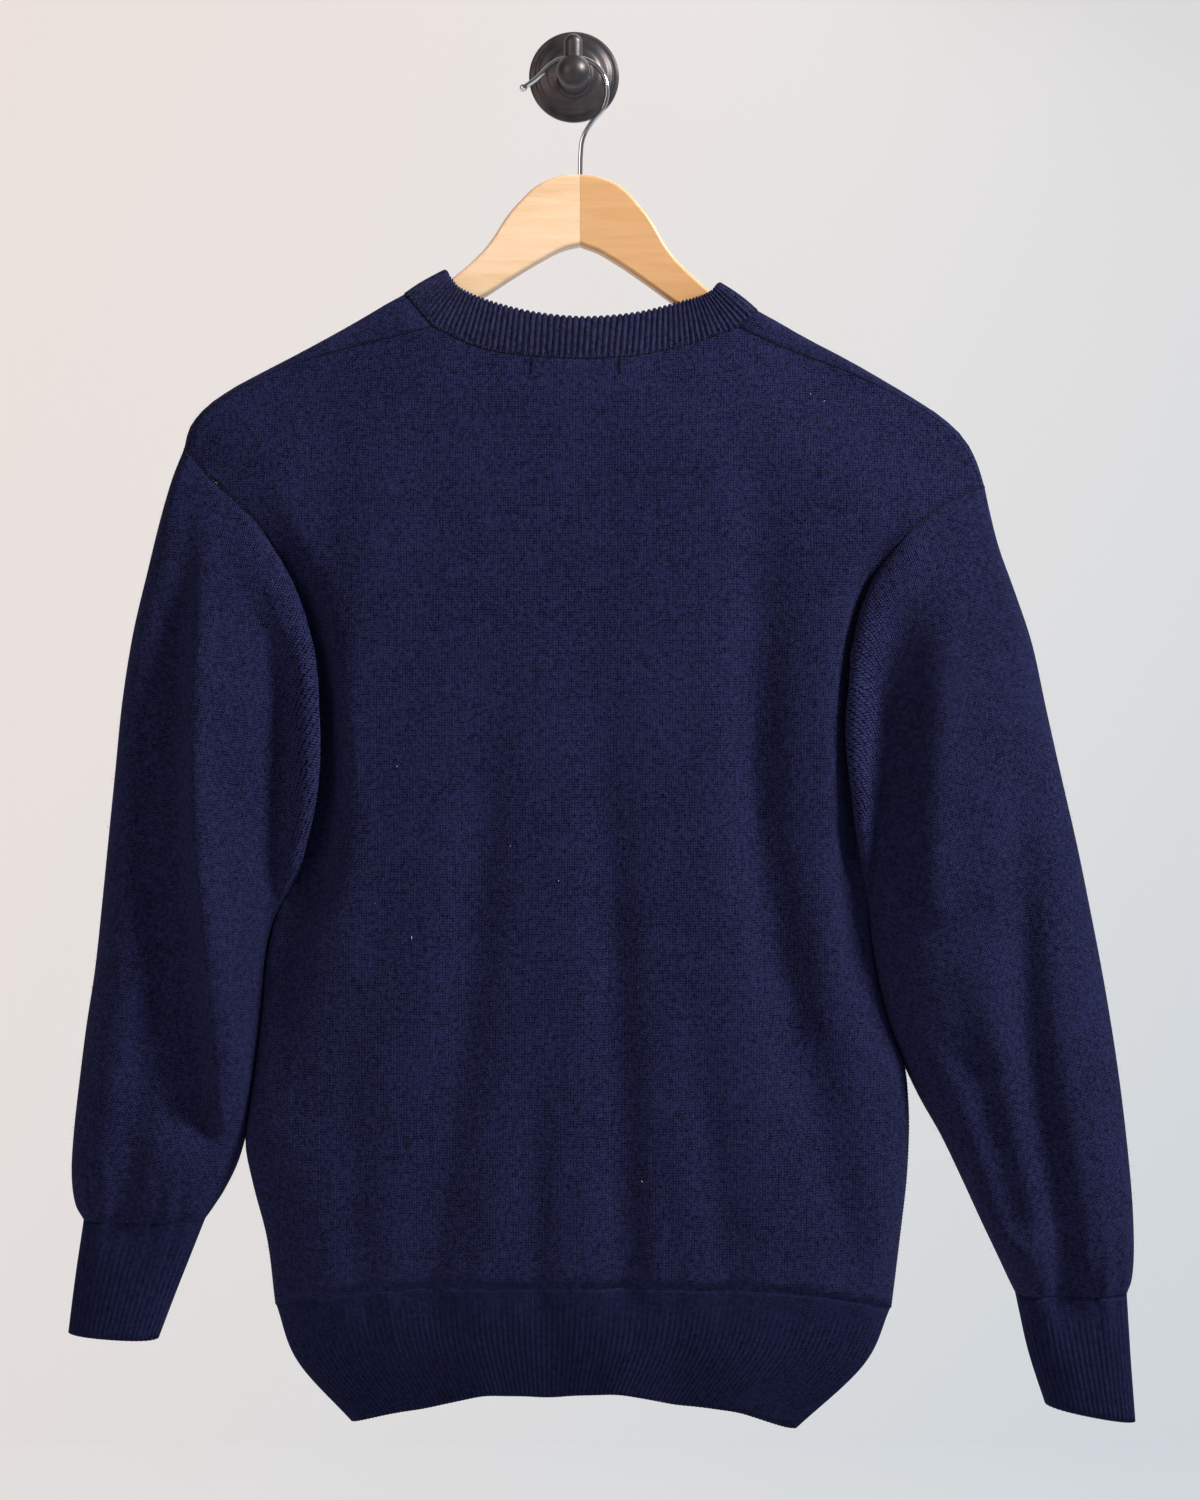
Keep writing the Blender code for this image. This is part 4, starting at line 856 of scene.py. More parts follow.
def knit_map(grid, grain, middle=0):
    """Each point's place in the flat knit, in metres, from the middle column."""
    grain = np.array(grain) / np.linalg.norm(grain)
    steps = np.diff(grid, axis=1)
    steps = steps - (steps @ grain)[..., None] * grain
    lengths = np.linalg.norm(steps, axis=-1)
    across = np.concatenate([np.zeros((len(grid), 1)), np.cumsum(lengths, axis=1)], axis=1)
    across = across - across[:, middle:middle + 1]
    return np.stack([across, grid @ grain], axis=-1) * MM


def grid_faces(rows, columns, start=0):
    """Quads of an open grid of points."""
    corner = (np.arange(rows - 1)[:, None] * columns + np.arange(columns - 1)[None, :]).ravel() + start
    return np.stack([corner, corner + 1, corner + columns + 1, corner + columns], axis=-1)


def hand_over(piece, replaced=None):
    """Puts a piece on the root body, hides the solid that it replaces, and prints its faces."""
    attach(piece, "root")
    if replaced:
        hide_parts(replaced)
    print(piece.name, len(piece.data.polygons), "faces")


def cloth(name, grids, maps, material, outwards_from=None, values=None):
    """A sheet from grids of points in millimetres, with its flat knit map and smooth shading."""
    points = np.concatenate([grid.reshape(-1, 3) for grid in grids]) * MM
    flat = np.concatenate([m.reshape(-1, 2) for m in maps])
    starts = np.cumsum([0] + [grid.shape[0] * grid.shape[1] for grid in grids])
    faces = np.concatenate([grid_faces(*grid.shape[:2], start) for grid, start in zip(grids, starts)])
    corners = points[faces]
    facing = np.cross(corners[:, 2] - corners[:, 0], corners[:, 3] - corners[:, 1])
    centre = corners.mean(1)
    away = centre - (points.mean(0) if outwards_from is None else outwards_from * MM)
    if (facing * away).sum() < 0:
        faces = faces[:, ::-1]
    mesh = bpy.data.meshes.new(name)
    mesh.from_pydata(points.tolist(), [], faces.tolist())
    layer = mesh.uv_layers.new(name="flat_knit")
    layer.data.foreach_set("uv", flat[faces.ravel()].ravel())
    for label, numbers in (values or {}).items():
        mesh.attributes.new(label, "FLOAT", "POINT").data.foreach_set("value", numbers.ravel())
    weld = bmesh.new()
    weld.from_mesh(mesh)
    bmesh.ops.remove_doubles(weld, verts=weld.verts, dist=WELD_REACH)
    weld.to_mesh(mesh)
    weld.free()
    mesh.shade_smooth()
    mesh.materials.append(material)
    return new_object(name, mesh)


# %% [markdown]
# The yarn is a fine navy lambswool, plain stocking stitch: every stitch is a small V of two
# legs. One wale is about 1.9 mm wide and one course 1.5 mm high. The V comes from two waves
# over the flat knit map: one across, zero between the wales and between the legs, and one
# along each leg, which climbs towards the wale's edge. It drives the bump, and it also paints
# shade into the gaps and light onto the tops. Wool scatters light at grazing angles, which is
# what sheen is for.

# %% Wool stocking stitch
WALE = 0.0019
RIB_WALE = 0.0018
COURSE = 0.0015
WANDER = 0.55
LEG_CLIMB = -1.5
LEG_SOFTNESS = 0.7
KNIT_RELIEF = 0.0005
RIB_KNIT_RELIEF = 0.0004
FIBRE_RELIEF = 0.35
# Painted light and shade: how much the stitch height lightens the tops and darkens the gaps in the colour.
STITCH_PAINTED_LIGHT_AND_SHADE = 0.75
FIBRE_SHADE = 0.75
CLUMP_SHADE = 1.5
DYE_SHADE = 0.25
BASE_SHADE = -0.92
# The darkest yarn colour also carries the painted shade in the gaps, and the lightest the painted light on
# the tops.
YARN_DARK_AND_GAP_SHADE = "#05060f"
YARN_MID = "#0f102b"
YARN_LIGHT_AND_TOP_LIGHT = "#292c52"


def stitch_height(tree, wale):
    """The height of a stocking stitch, 0 to 1, at each place of the flat knit map."""
    flat = add(tree, "ShaderNodeUVMap", uv_map="flat_knit")
    wander = add(tree, "ShaderNodeTexNoise", {"Vector": flat.outputs["UV"], "Scale": 260.0, "Detail": 2.0})
    sway = add(tree, "ShaderNodeVectorMath", {0: wander.outputs["Color"], 1: (0.5, 0.5, 0.5)},
               operation="SUBTRACT")
    moved = add(tree, "ShaderNodeVectorMath",
                {0: sway.outputs[0], 1: (wale * WANDER,) * 3, 2: flat.outputs["UV"]},
                operation="MULTIPLY_ADD")
    place = add(tree, "ShaderNodeSeparateXYZ", {0: moved.outputs[0]})
    wales = add(tree, "ShaderNodeMath", {0: place.outputs["X"], 1: wale}, operation="DIVIDE")
    leg = add(tree, "ShaderNodeMath", {0: wales.outputs[0], 1: 0.5}, operation="PINGPONG")
    leg_turn = add(tree, "ShaderNodeMath", {0: leg.outputs[0], 1: 2 * math.pi}, operation="MULTIPLY")
    leg_round = add(tree, "ShaderNodeMath", {0: leg_turn.outputs[0]}, operation="SINE")
    courses = add(tree, "ShaderNodeMath", {0: place.outputs["Y"], 1: COURSE}, operation="DIVIDE")
    climbing = add(tree, "ShaderNodeMath", {0: leg.outputs[0], 1: LEG_CLIMB, 2: courses.outputs[0]},
                   operation="MULTIPLY_ADD")
    climb = add(tree, "ShaderNodeMath", {0: climbing.outputs[0], 1: 0.5}, operation="PINGPONG")
    climb_turn = add(tree, "ShaderNodeMath", {0: climb.outputs[0], 1: math.pi}, operation="MULTIPLY")
    climb_round = add(tree, "ShaderNodeMath", {0: climb_turn.outputs[0]}, operation="SINE")
    soft_leg = add(tree, "ShaderNodeMath", {0: leg_round.outputs[0], 1: LEG_SOFTNESS},
                   operation="POWER")
    height = add(tree, "ShaderNodeMath", {0: soft_leg.outputs[0], 1: climb_round.outputs[0]},
                 operation="MULTIPLY")
    return height.outputs[0]


def wool(name, wale, mid, light, depth):
    """Navy wool knit in stocking stitch, with stray fibres and uneven dye, and painted shade in the gaps
    and painted light on the stitch tops.
    """
    material, tree, shader = new_material(name, Roughness=0.95, Sheen_Weight=0.12, Sheen_Roughness=0.4,
                                          Sheen_Tint=linear("#5d69ac"), Specular_IOR_Level=0.04)
    height = stitch_height(tree, wale)
    place = add(tree, "ShaderNodeTexCoord")
    fibres = add(tree, "ShaderNodeTexNoise", {"Vector": place.outputs["Object"], "Scale": 1400.0,
                                              "Detail": 4.0, "Roughness": 0.7})
    clumps = add(tree, "ShaderNodeTexNoise", {"Vector": place.outputs["Object"], "Scale": 430.0,
                                              "Detail": 3.0, "Roughness": 0.6})
    dye = add(tree, "ShaderNodeTexNoise", {"Vector": place.outputs["Object"], "Scale": 22.0, "Detail": 3.0})
    # Painted light and shade: the stitch height lightens the stitch tops and darkens the gaps.
    stitch_light_and_shade = add(tree, "ShaderNodeMath", {0: height, 1: STITCH_PAINTED_LIGHT_AND_SHADE, 2: BASE_SHADE},
               operation="MULTIPLY_ADD")
    grain = add(tree, "ShaderNodeMath", {0: fibres.outputs["Fac"], 1: FIBRE_SHADE, 2: stitch_light_and_shade.outputs[0]},
                operation="MULTIPLY_ADD")
    clumped = add(tree, "ShaderNodeMath", {0: clumps.outputs["Fac"], 1: CLUMP_SHADE, 2: grain.outputs[0]},
                  operation="MULTIPLY_ADD")
    shade = add(tree, "ShaderNodeMath", {0: dye.outputs["Fac"], 1: DYE_SHADE, 2: clumped.outputs[0]},
                operation="MULTIPLY_ADD", use_clamp=True)
    ramp = add(tree, "ShaderNodeValToRGB", {"Fac": shade.outputs[0]})
    set_stops(ramp, (0.32, YARN_DARK_AND_GAP_SHADE), (0.76, light), (0.5, mid))
    relief = add(tree, "ShaderNodeMath", {0: fibres.outputs["Fac"], 1: FIBRE_RELIEF, 2: height},
                 operation="MULTIPLY_ADD")
    bump = add(tree, "ShaderNodeBump", {"Height": relief.outputs[0], "Strength": 1.0, "Distance": depth})
    tree.links.new(ramp.outputs["Color"], shader.inputs["Base Color"])
    tree.links.new(bump.outputs["Normal"], shader.inputs["Normal"])
    return material


plain_knit = wool("lambswool_stocking_stitch", WALE, YARN_MID, YARN_LIGHT_AND_TOP_LIGHT, KNIT_RELIEF)
rib_knit = wool("lambswool_rib", RIB_WALE, "#0d0f27", "#212548", RIB_KNIT_RELIEF)
# Painted light: the neckband's rib wool is a lighter copy of the rib wool of the hem and cuffs.
neck_knit_painted_light = wool("lambswool_neck_rib_painted_light", RIB_WALE, "#13152c", "#323558", RIB_KNIT_RELIEF)
print("materials:", plain_knit.name, rib_knit.name, neck_knit_painted_light.name)

# %% [markdown]
# The body and sleeves are sheets on those grids. A Solidify modifier gives them the knit's
# thickness inwards, so that the neck, hem and cuffs show a real edge. The front panel is one
# sheet with the two strips that go over the shoulders to the seams behind.

# %% Body and sleeve shells
SHELL_THICK = 0.0016
RIB_THICK = 0.0018
UPRIGHT = (0, 0, 1)


def thicken(piece, thick=SHELL_THICK):
    """Gives a sheet its thickness, inwards."""
    wall = piece.modifiers.new("thickness", "SOLIDIFY")
    wall.thickness = thick
    wall.offset = -1
    wall.use_even_offset = False
    return piece


def sleeve_grain(skin):
    """The sleeve's direction, from its cuff up to its shoulder."""
    up = skin[len(skin) // 3].mean(0) - skin[-1].mean(0)
    return (up[0], 0, up[2])


def over_map(strip, edge_map):
    """The strip's map goes on from the front panel's, with the cloth's length over the shoulder."""
    steps = np.linalg.norm(np.diff(strip, axis=0), axis=-1)
    up = np.concatenate([np.zeros((1, strip.shape[1])), np.cumsum(steps, axis=0)]) * MM
    across = np.repeat(edge_map[None, :, 0], len(strip), axis=0)
    return np.stack([across, edge_map[None, :, 1] + up], axis=-1)


back_map = knit_map(back, UPRIGHT, back.shape[1] // 2)
front_map = knit_map(front, UPRIGHT, front.shape[1] // 2)
front_maps = [front_map, over_map(over_left, front_map[-1, :SHOULDER_COLUMNS]),
              over_map(over_right, front_map[-1, -SHOULDER_COLUMNS:])]
FRONT_GRIDS = [front, over_left, over_right]
knit_back = cloth("knit_back", [back], [back_map], plain_knit, BODY_MIDDLE)
knit_front = cloth("knit_front", FRONT_GRIDS, front_maps, plain_knit, BODY_MIDDLE)
knit_sleeve_left = cloth("knit_sleeve_left", [sleeve_left],
                         [knit_map(unrolled_left, sleeve_grain(sleeve_left))], plain_knit)
knit_sleeve_right = cloth("knit_sleeve_right", [sleeve_right],
                          [knit_map(unrolled_right, sleeve_grain(sleeve_right))], plain_knit)
for piece, node in ((knit_back, "back_panel"), (knit_front, "front_panel"),
                    (knit_sleeve_left, "sleeve_left"), (knit_sleeve_right, "sleeve_right")):
    thicken(piece)
    hand_over(piece, node)

# %% [markdown]
# The neckband, hem and cuffs are one-by-one rib: one wale stands out, the next lies behind it.
# The sheets carry a rib number that counts across them, and Geometry Nodes raise each point
# along its normal by a wave of that number. The band is folded double, so its sheet goes up
# the outside, over the rounded edge and down the inside.

# %% Rib tree
RIB_CROWN = 0.8
RIB_MIDDLE = -1.15


def open_tree(name, amount):
    """A node tree that takes geometry, one number and a material, with its input node."""
    tree = bpy.data.node_groups.new(name, "GeometryNodeTree")
    for label, kind in (("Geometry", "Geometry"), (amount, "Float"), ("Material", "Material")):
        tree.interface.new_socket(label, in_out="INPUT", socket_type="NodeSocket" + kind)
    tree.interface.new_socket("Geometry", in_out="OUTPUT", socket_type="NodeSocketGeometry")
    return tree, add(tree, "NodeGroupInput")


def close_tree(tree, start, made):
    """Ends a tree: what the last node made becomes real, takes the material and goes out."""
    real = add(tree, "GeometryNodeRealizeInstances", {"Geometry": made.outputs[0]})
    painted = add(tree, "GeometryNodeSetMaterial", {"Geometry": real.outputs[0],
                                                    "Material": start.outputs["Material"]})
    add(tree, "NodeGroupOutput", {0: painted.outputs[0]})
    print(tree.name, "tree:", len(tree.nodes), "nodes")
    return tree


def run_tree(piece, tree, **inputs):
    """Runs a piece through a tree with its inputs set, and leaves a plain mesh without it."""
    sockets = {item.name: item.identifier for item in tree.interface.items_tree if item.in_out == "INPUT"}
    nodes = piece.modifiers.new(tree.name, "NODES")
    nodes.node_group = tree
    for name, value in inputs.items():
        nodes[sockets[name]] = value
    graph = bpy.context.evaluated_depsgraph_get()
    made = bpy.data.meshes.new_from_object(piece.evaluated_get(graph), depsgraph=graph)
    piece.modifiers.clear()
    piece.data = made


def rib_tree():
    """Raises ribs on a sheet by a wave of its rib number: round on top, narrow between."""
    tree, start = open_tree("raise_ribs", "Relief")
    number = add(tree, "GeometryNodeInputNamedAttribute", {"Name": "rib"}, data_type="FLOAT")
    lift = add(tree, "GeometryNodeInputNamedAttribute", {"Name": "rib_lift"}, data_type="FLOAT")
    turn = add(tree, "ShaderNodeMath", {0: number.outputs["Attribute"], 1: math.pi}, operation="MULTIPLY")
    wave = add(tree, "ShaderNodeMath", {0: turn.outputs[0]}, operation="COSINE")
    size = add(tree, "ShaderNodeMath", {0: wave.outputs[0]}, operation="ABSOLUTE")
    crown = add(tree, "ShaderNodeMath", {0: size.outputs[0], 1: RIB_CROWN}, operation="POWER")
    centred = add(tree, "ShaderNodeMath", {0: crown.outputs[0], 1: 2.0, 2: RIB_MIDDLE},
                  operation="MULTIPLY_ADD")
    lifted = add(tree, "ShaderNodeMath", {0: centred.outputs[0], 1: lift.outputs["Attribute"]},
                 operation="MULTIPLY")
    height = add(tree, "ShaderNodeMath", {0: lifted.outputs[0], 1: start.outputs["Relief"]},
                 operation="MULTIPLY")
    normal = add(tree, "GeometryNodeInputNormal")
    offset = add(tree, "ShaderNodeVectorMath", {0: normal.outputs[0], "Scale": height.outputs[0]},
                 operation="SCALE")
    raised = add(tree, "GeometryNodeSetPosition", {"Geometry": start.outputs["Geometry"],
                                                   "Offset": offset.outputs[0]})
    return close_tree(tree, start, raised)


RIBS = rib_tree()

# %% Ribbed sheets
STEPS_A_RIB = 6
RIB_GROWTH = 0.35
BAND_RELIEF = 0.0008
HEM_RELIEF = 0.0003
CUFF_RELIEF = 0.00035


def smooth_rows(rails, times):
    """More rows between a few rails, on smooth curves through them."""
    marks = np.arange(len(rails), dtype=float)
    return curve(marks, rails, finer(marks, times))


def rib_lifts(count):
    """The ribs grow out of the plain knit in the first rows."""
    return np.clip(np.arange(count) / (RIB_GROWTH * count), 0, 1)


def ribbed(name, rows, ribs, node, lifts, relief, material, outwards_from=None):
    """A ribbed sheet from rows of points: its map follows the ribs, and its rows can fade them."""
    place = np.linspace(0, 1, rows.shape[1])
    number = np.repeat(place[None] * ribs, len(rows), axis=0)
    steps = np.linalg.norm(np.diff(rows, axis=0), axis=-1).mean(1)
    down = np.concatenate([[0], np.cumsum(steps)]) * MM
    flat = np.stack([(2 * number + 0.5) * RIB_WALE, np.repeat(down[:, None], len(place), axis=1)], axis=-1)
    values = {"rib": number, "rib_lift": np.repeat(np.array(lifts)[:, None], len(place), axis=1)}
    piece = cloth(name, [rows], [flat], material, outwards_from, values)
    run_tree(piece, RIBS, Relief=relief, Material=material)
    piece.data.shade_smooth()
    hand_over(piece, node)
    return piece


print("ribs:", STEPS_A_RIB, "steps each")

# %% Hem
HEM_RIBS = 116
HEM_TIMES = 12
HEM_WAVE_FALL = 0.8
HEM_MIDDLE = BODY_MIDDLE - (0, 0, 330)
HEM_WAVES = table("x reach depth", (-88, 14, 2.0), (-52, 12, -2.5), (-14, 13, 2.4), (26, 12, -2.0),
                  (60, 13, 2.2), (98, 12, -2.2), (126, 10, 1.6))


def hem_rows(base, side):
    """The hem rib's rows from the panel's edge down, with soft waves in its lower edge."""
    place = np.linspace(0, 1, HEM_RIBS * STEPS_A_RIB + 1)
    top = on_chain(base, place)
    rails = [top]
    for row in (1, 2):
        xz = hem_curve(row, place)
        full = read(DEPTH, side, xz[:, 1])
        rail = on_chain(stand(xz, full * roundness(place), side), place)
        for x, reach, depth in zip(HEM_WAVES["x"], HEM_WAVES["reach"], HEM_WAVES["depth"]):
            wave = (row / 2) * depth * np.exp(-((rail[:, 0] - x) / reach) ** 2) * roundness(place)
            rail[:, 1] += wave
            rail[:, 2] -= HEM_WAVE_FALL * wave
        rails.append(rail)
    return smooth_rows(np.array(rails), HEM_TIMES)


HEMS = {"back": hem_rows(back[0], "back"), "front": hem_rows(front[0], "front")}
for side, rows in HEMS.items():
    node = "hem_rib_" + side
    hem = ribbed("knit_" + node, rows, HEM_RIBS, node, rib_lifts(len(rows)), HEM_RELIEF, rib_knit,
                 HEM_MIDDLE)
    thicken(hem, RIB_THICK)

# %% Cuffs
CUFF_RIBS = 46
CUFF_TIMES = 8


def even_ring(ring, count):
    """Evenly spaced points round a closed ring, the first repeated at the end."""
    return on_chain(np.concatenate([ring, ring[:1]]), np.arange(count + 1) / count)


def cuff_rows(tab, end_ring):
    """The cuff's rows from the sleeve's end down."""
    count = CUFF_RIBS * STEPS_A_RIB
    turn = np.linspace(0, 2, 2 * count, endpoint=False)
    rings = [end_ring[:-1], section(tab, 0, turn), section(tab, 1, turn)]
    return smooth_rows(np.array([even_ring(ring, count) for ring in rings]), CUFF_TIMES)


CUFFS = {"left": cuff_rows(LEFT_CUFF, sleeve_left[-1]), "right": cuff_rows(RIGHT_CUFF, sleeve_right[-1])}
for side, rows in CUFFS.items():
    cuff = ribbed("knit_cuff_" + side, rows, CUFF_RIBS, "cuff_" + side, rib_lifts(len(rows)), CUFF_RELIEF,
                  rib_knit)
    thicken(cuff, RIB_THICK)

# %% Neckband
NECK_RIBS = 156
BAND_THICK = 2.6
BAND_FOOT = ((2.0, 2.0), (0.8, 0.9))
BAND_OUTSIDE = np.linspace(0.03, 1, 9)
BAND_EDGE_TURNS = np.linspace(0, math.pi, 7)[1:]
BAND_INSIDE = np.linspace(1, 0, 7)[1:]
INSIDE_TAPER = 3
NECK_MIDDLE = np.array([5.0, HANGER_PLANE, -160.0])


def loop_through(marks, points, at):
    """A smooth closed curve through points at increasing marks from 0 up to but not at 1."""
    marks = np.concatenate([marks[-2:] - 1, marks, marks[:3] + 1])
    points = np.concatenate([points[-2:], points, points[:3]])
    return curve(marks, points, at)


def neck_stations():
    """The neck seam's table points in space, from the left corner behind, round to it again."""
    xz = plan(NECK, "seam_x", "seam_z")
    back = stand(xz, open_depth(xz, "back"), "back")
    front = stand(xz, open_depth(xz, "front"), "front")
    on_back = np.arange(len(xz)) < RIGHT_RIDGE_STATION
    seam = np.where(on_back[:, None], back, front)
    return np.roll(seam, -1, axis=0)


def band_rows(base):
    """The folded band: up the outside from the neck seam, round the edge and down the inside."""
    count = NECK_RIBS * STEPS_A_RIB
    place = np.arange(count + 1) / count
    start = on_chain(base, place)
    marks = [np.linalg.norm(start[:-1] - seam, axis=1).argmin() / count for seam in neck_stations()]
    edge = np.stack([NECK["edge_x"], NECK["edge_y"], NECK["edge_z"]], axis=-1)
    edge = loop_through(np.array(marks), np.roll(edge, -1, axis=0), place)
    up = edge - start
    up = up / np.linalg.norm(up, axis=-1, keepdims=True)
    out = np.cross(np.gradient(start, axis=0), up)
    out = out / np.linalg.norm(out, axis=-1, keepdims=True)
    out = out * np.sign((out * ((start + edge) / 2 - NECK_MIDDLE)).sum())
    half = BAND_THICK / 2

    def wall_row(share, inset=0.0):
        """A row of one layer, a share of the way up, bulged out and set in."""
        bulge = NECK_BULGE * math.sin(math.pi * share)
        return (1 - share) * start + share * (edge - up * half) + (bulge - inset) * out

    foot = [start - below * up - inside * out for below, inside in BAND_FOOT]
    outside = [wall_row(share) for share in BAND_OUTSIDE]
    rounded = [edge - up * half + half * (math.sin(turn) * up - (1 - math.cos(turn)) * out)
               for turn in BAND_EDGE_TURNS]
    inside = [wall_row(share, BAND_THICK * min(1, INSIDE_TAPER * share)) for share in BAND_INSIDE]
    return np.array(foot + outside + rounded + inside)


behind = back[-1, SHOULDER_COLUMNS - 1:1 - SHOULDER_COLUMNS]
lower_front = front[-1, SHOULDER_COLUMNS - 1:1 - SHOULDER_COLUMNS][::-1]
neck_base = np.concatenate([behind, over_right[-2:0:-1, 0], lower_front, over_left[1:, -1]])
band = band_rows(neck_base)
ribbed("knit_neckband", band, NECK_RIBS, "neckband", np.ones(len(band)), BAND_RELIEF, neck_knit_painted_light,
       NECK_MIDDLE)

# %% [markdown]
# The hanger is two flat maple arms glued at a mitre, with rounded edges. Its outline is a
# smooth curve through the same few sizes as the solid's, and a Bevel modifier rounds it.
# Maple is pale and close-grained: long soft streaks along each arm and a few darker lines,
# under a thin clear lacquer. The right arm's colours are darker, with painted shade.

# %% Hanger wood
HANGER = table(
    "out top under",
    (0, 0, -42.5), (10, -0.8, -45.5), (22, -5, -52), (40, -22, -63.5), (56, -46, -74.5),
    (76, -65, -87), (105, -86, -107), (136, -102.5, -126), (165, -118, -140.5),
    (188, -130.5, -150.5), (208, -143.5, -158.5), (218, -151.5, -162),
)
HANGER_TIP = (223, -157.5)
LEFT_WOOD = ("#dcb184", "#eecda8", "#f5dcc0")
# Painted shade: the right arm's wood colours are darker than the left's, for the shade on it.
RIGHT_WOOD_PAINTED_SHADE = ("#c6945f", "#d3a472", "#dcb284")
GRAIN_TURN = math.radians(32)
OUTLINE_POINTS = 60
MITRE_GAP = 0.06
MITRE_REACH = 1.6
NEAR = 1e-6
ROUNDING_STEPS = 4


def maple(name, side, dark, mid, light):
    """Clear-lacquered maple, its grain along the arm."""
    material, tree, shader = new_material(name, Roughness=0.42, Coat_Weight=0.35, Coat_Roughness=0.25,
                                          Specular_IOR_Level=0.5)
    place = add(tree, "ShaderNodeTexCoord")
    along_arm = add(tree, "ShaderNodeMapping", {"Vector": place.outputs["Object"],
                                                "Rotation": (0, side * GRAIN_TURN, 0),
                                                "Scale": (5.0, 60.0, 60.0)})
    streaks = add(tree, "ShaderNodeTexNoise", {"Vector": along_arm.outputs[0], "Scale": 2.2, "Detail": 6.0,
                                               "Roughness": 0.62, "Distortion": 0.35})
    pores = add(tree, "ShaderNodeTexNoise", {"Vector": along_arm.outputs[0], "Scale": 16.0, "Detail": 3.0})
    mixed = add(tree, "ShaderNodeMath", {0: pores.outputs["Fac"], 1: 0.3, 2: streaks.outputs["Fac"]},
                operation="MULTIPLY_ADD")
    ramp = add(tree, "ShaderNodeValToRGB", {"Fac": mixed.outputs[0]})
    set_stops(ramp, (0.3, dark), (1, light), (0.64, mid))
    bump = add(tree, "ShaderNodeBump",
               {"Height": pores.outputs["Fac"], "Strength": 0.12, "Distance": 0.0004})
    tree.links.new(ramp.outputs["Color"], shader.inputs["Base Color"])
    tree.links.new(bump.outputs["Normal"], shader.inputs["Normal"])
    return material


def arm_outline(side):
    """One arm's outline from the mitre out along the top and back along the underside, tilted."""
    even = np.linspace(0, 1, OUTLINE_POINTS)
    top = along(plan(HANGER, "out", "top"), even)
    under = along(plan(HANGER, "out", "under"), even)
    line = np.concatenate([top, [HANGER_TIP], under[::-1]])
    line[:, 0] *= side
    turned_x = line[:, 0] * math.cos(HANGER_TILT) + line[:, 1] * math.sin(HANGER_TILT)
    turned_z = line[:, 1] * math.cos(HANGER_TILT) - line[:, 0] * math.sin(HANGER_TILT)
    turned_x[np.abs(line[:, 0]) < NEAR] = side * MITRE_GAP
    return np.stack([turned_x + HANGER_MIDDLE[0], turned_z + HANGER_MIDDLE[1]], axis=-1)


def solid(name, points, faces, material):
    """A closed smooth piece from points in metres, its faces turned outwards."""
    mesh = bpy.data.meshes.new(name)
    mesh.from_pydata(points, [], faces)
    turned = bmesh.new()
    turned.from_mesh(mesh)
    bmesh.ops.recalc_face_normals(turned, faces=turned.faces)
    turned.to_mesh(mesh)
    turned.free()
    mesh.shade_smooth()
    mesh.materials.append(material)
    return new_object(name, mesh)


def hanger_arm(name, side, node, material):
    """A flat arm: the outline as two faces and the rim between them, with rounded edges."""
    line = arm_outline(side)
    count = len(line)
    half = HANGER_THICK / 2
    points = [(x * MM, (HANGER_PLANE + off) * MM, z * MM) for off in (-half, half) for x, z in line]
    faces = [tuple(range(count)), tuple(range(2 * count - 1, count - 1, -1))]
    faces += [(i, (i + 1) % count, count + (i + 1) % count, count + i) for i in range(count)]
    arm = solid(name, points, faces, material)
    mesh = arm.data
    weights = mesh.attributes.new("bevel_weight_edge", "FLOAT", "EDGE")
    for edge in mesh.edges:
        ends = [mesh.vertices[v].co for v in edge.vertices]
        along_rim = abs(ends[0].y - ends[1].y) < NEAR
        at_mitre = all(abs(end.x - HANGER_MIDDLE[0] * MM) < MITRE_REACH * MM for end in ends)
        edge.use_edge_sharp = at_mitre
        weights.data[edge.index].value = float(along_rim and not at_mitre)
    rounding = arm.modifiers.new("rounding", "BEVEL")
    rounding.width = HANGER_EDGE * MM
    rounding.segments = ROUNDING_STEPS
    rounding.limit_method = "WEIGHT"
    rounding.harden_normals = True
    hand_over(arm, node)


hanger_arm("maple_arm_left", -1, "hanger_arm_left", maple("lacquered_maple_left", -1, *LEFT_WOOD))
# The right arm takes the darker colours, with painted shade.
hanger_arm("maple_arm_right", 1, "hanger_arm_right", maple("lacquered_maple_right_painted_shade", 1, *RIGHT_WOOD_PAINTED_SHADE))

# %% [markdown]
# The hook is one length of chromed steel wire, 3 mm thick, bent round the post, with a small
# round end. Rings of points follow a smooth curve through the table's rows. Chrome shows mostly
# what it mirrors, so its roughness is low and the soft lights do the drawing.

# %% Wire hook
WIRE_RADIUS = 1.5
WIRE_TIP_RADIUS = 2.3
WIRE_DEPTH_IN_WOOD = 14.0
WIRE_POINTS = 120
WIRE_SIDES = 20
WIRE_TIP_AHEAD = 2.6
WIRE_TIP_TURNS = np.linspace(-0.5, 0.94, 10) * math.pi / 2
WIRE = table(
    "x z", (4, -66), (4.2, -56), (5.5, -45), (11, -35), (17.5, -27), (20, -18), (19, -9.5),
    (14.8, -2.4), (8, 2.2), (0, 3.7), (-8, 2.6), (-14, -0.8), (-18.6, -5.4), (-23, -9.5), (-28, -13),
)
chrome, _, _ = new_material("chromed_steel_wire", Base_Color=linear("#d9dade"), Metallic=1.0,
                            Roughness=0.12)


def ringed(name, points, sides, material):
    """A closed piece from rings of points in metres, one ring after another."""
    faces = []
    for first in range(0, len(points) - sides, sides):
        for side in range(sides):
            a, b = first + side, first + (side + 1) % sides
            faces.append((a, b, b + sides, a + sides))
    faces += [tuple(range(sides)), tuple(range(len(points) - sides, len(points)))]
    return solid(name, points, faces, material)


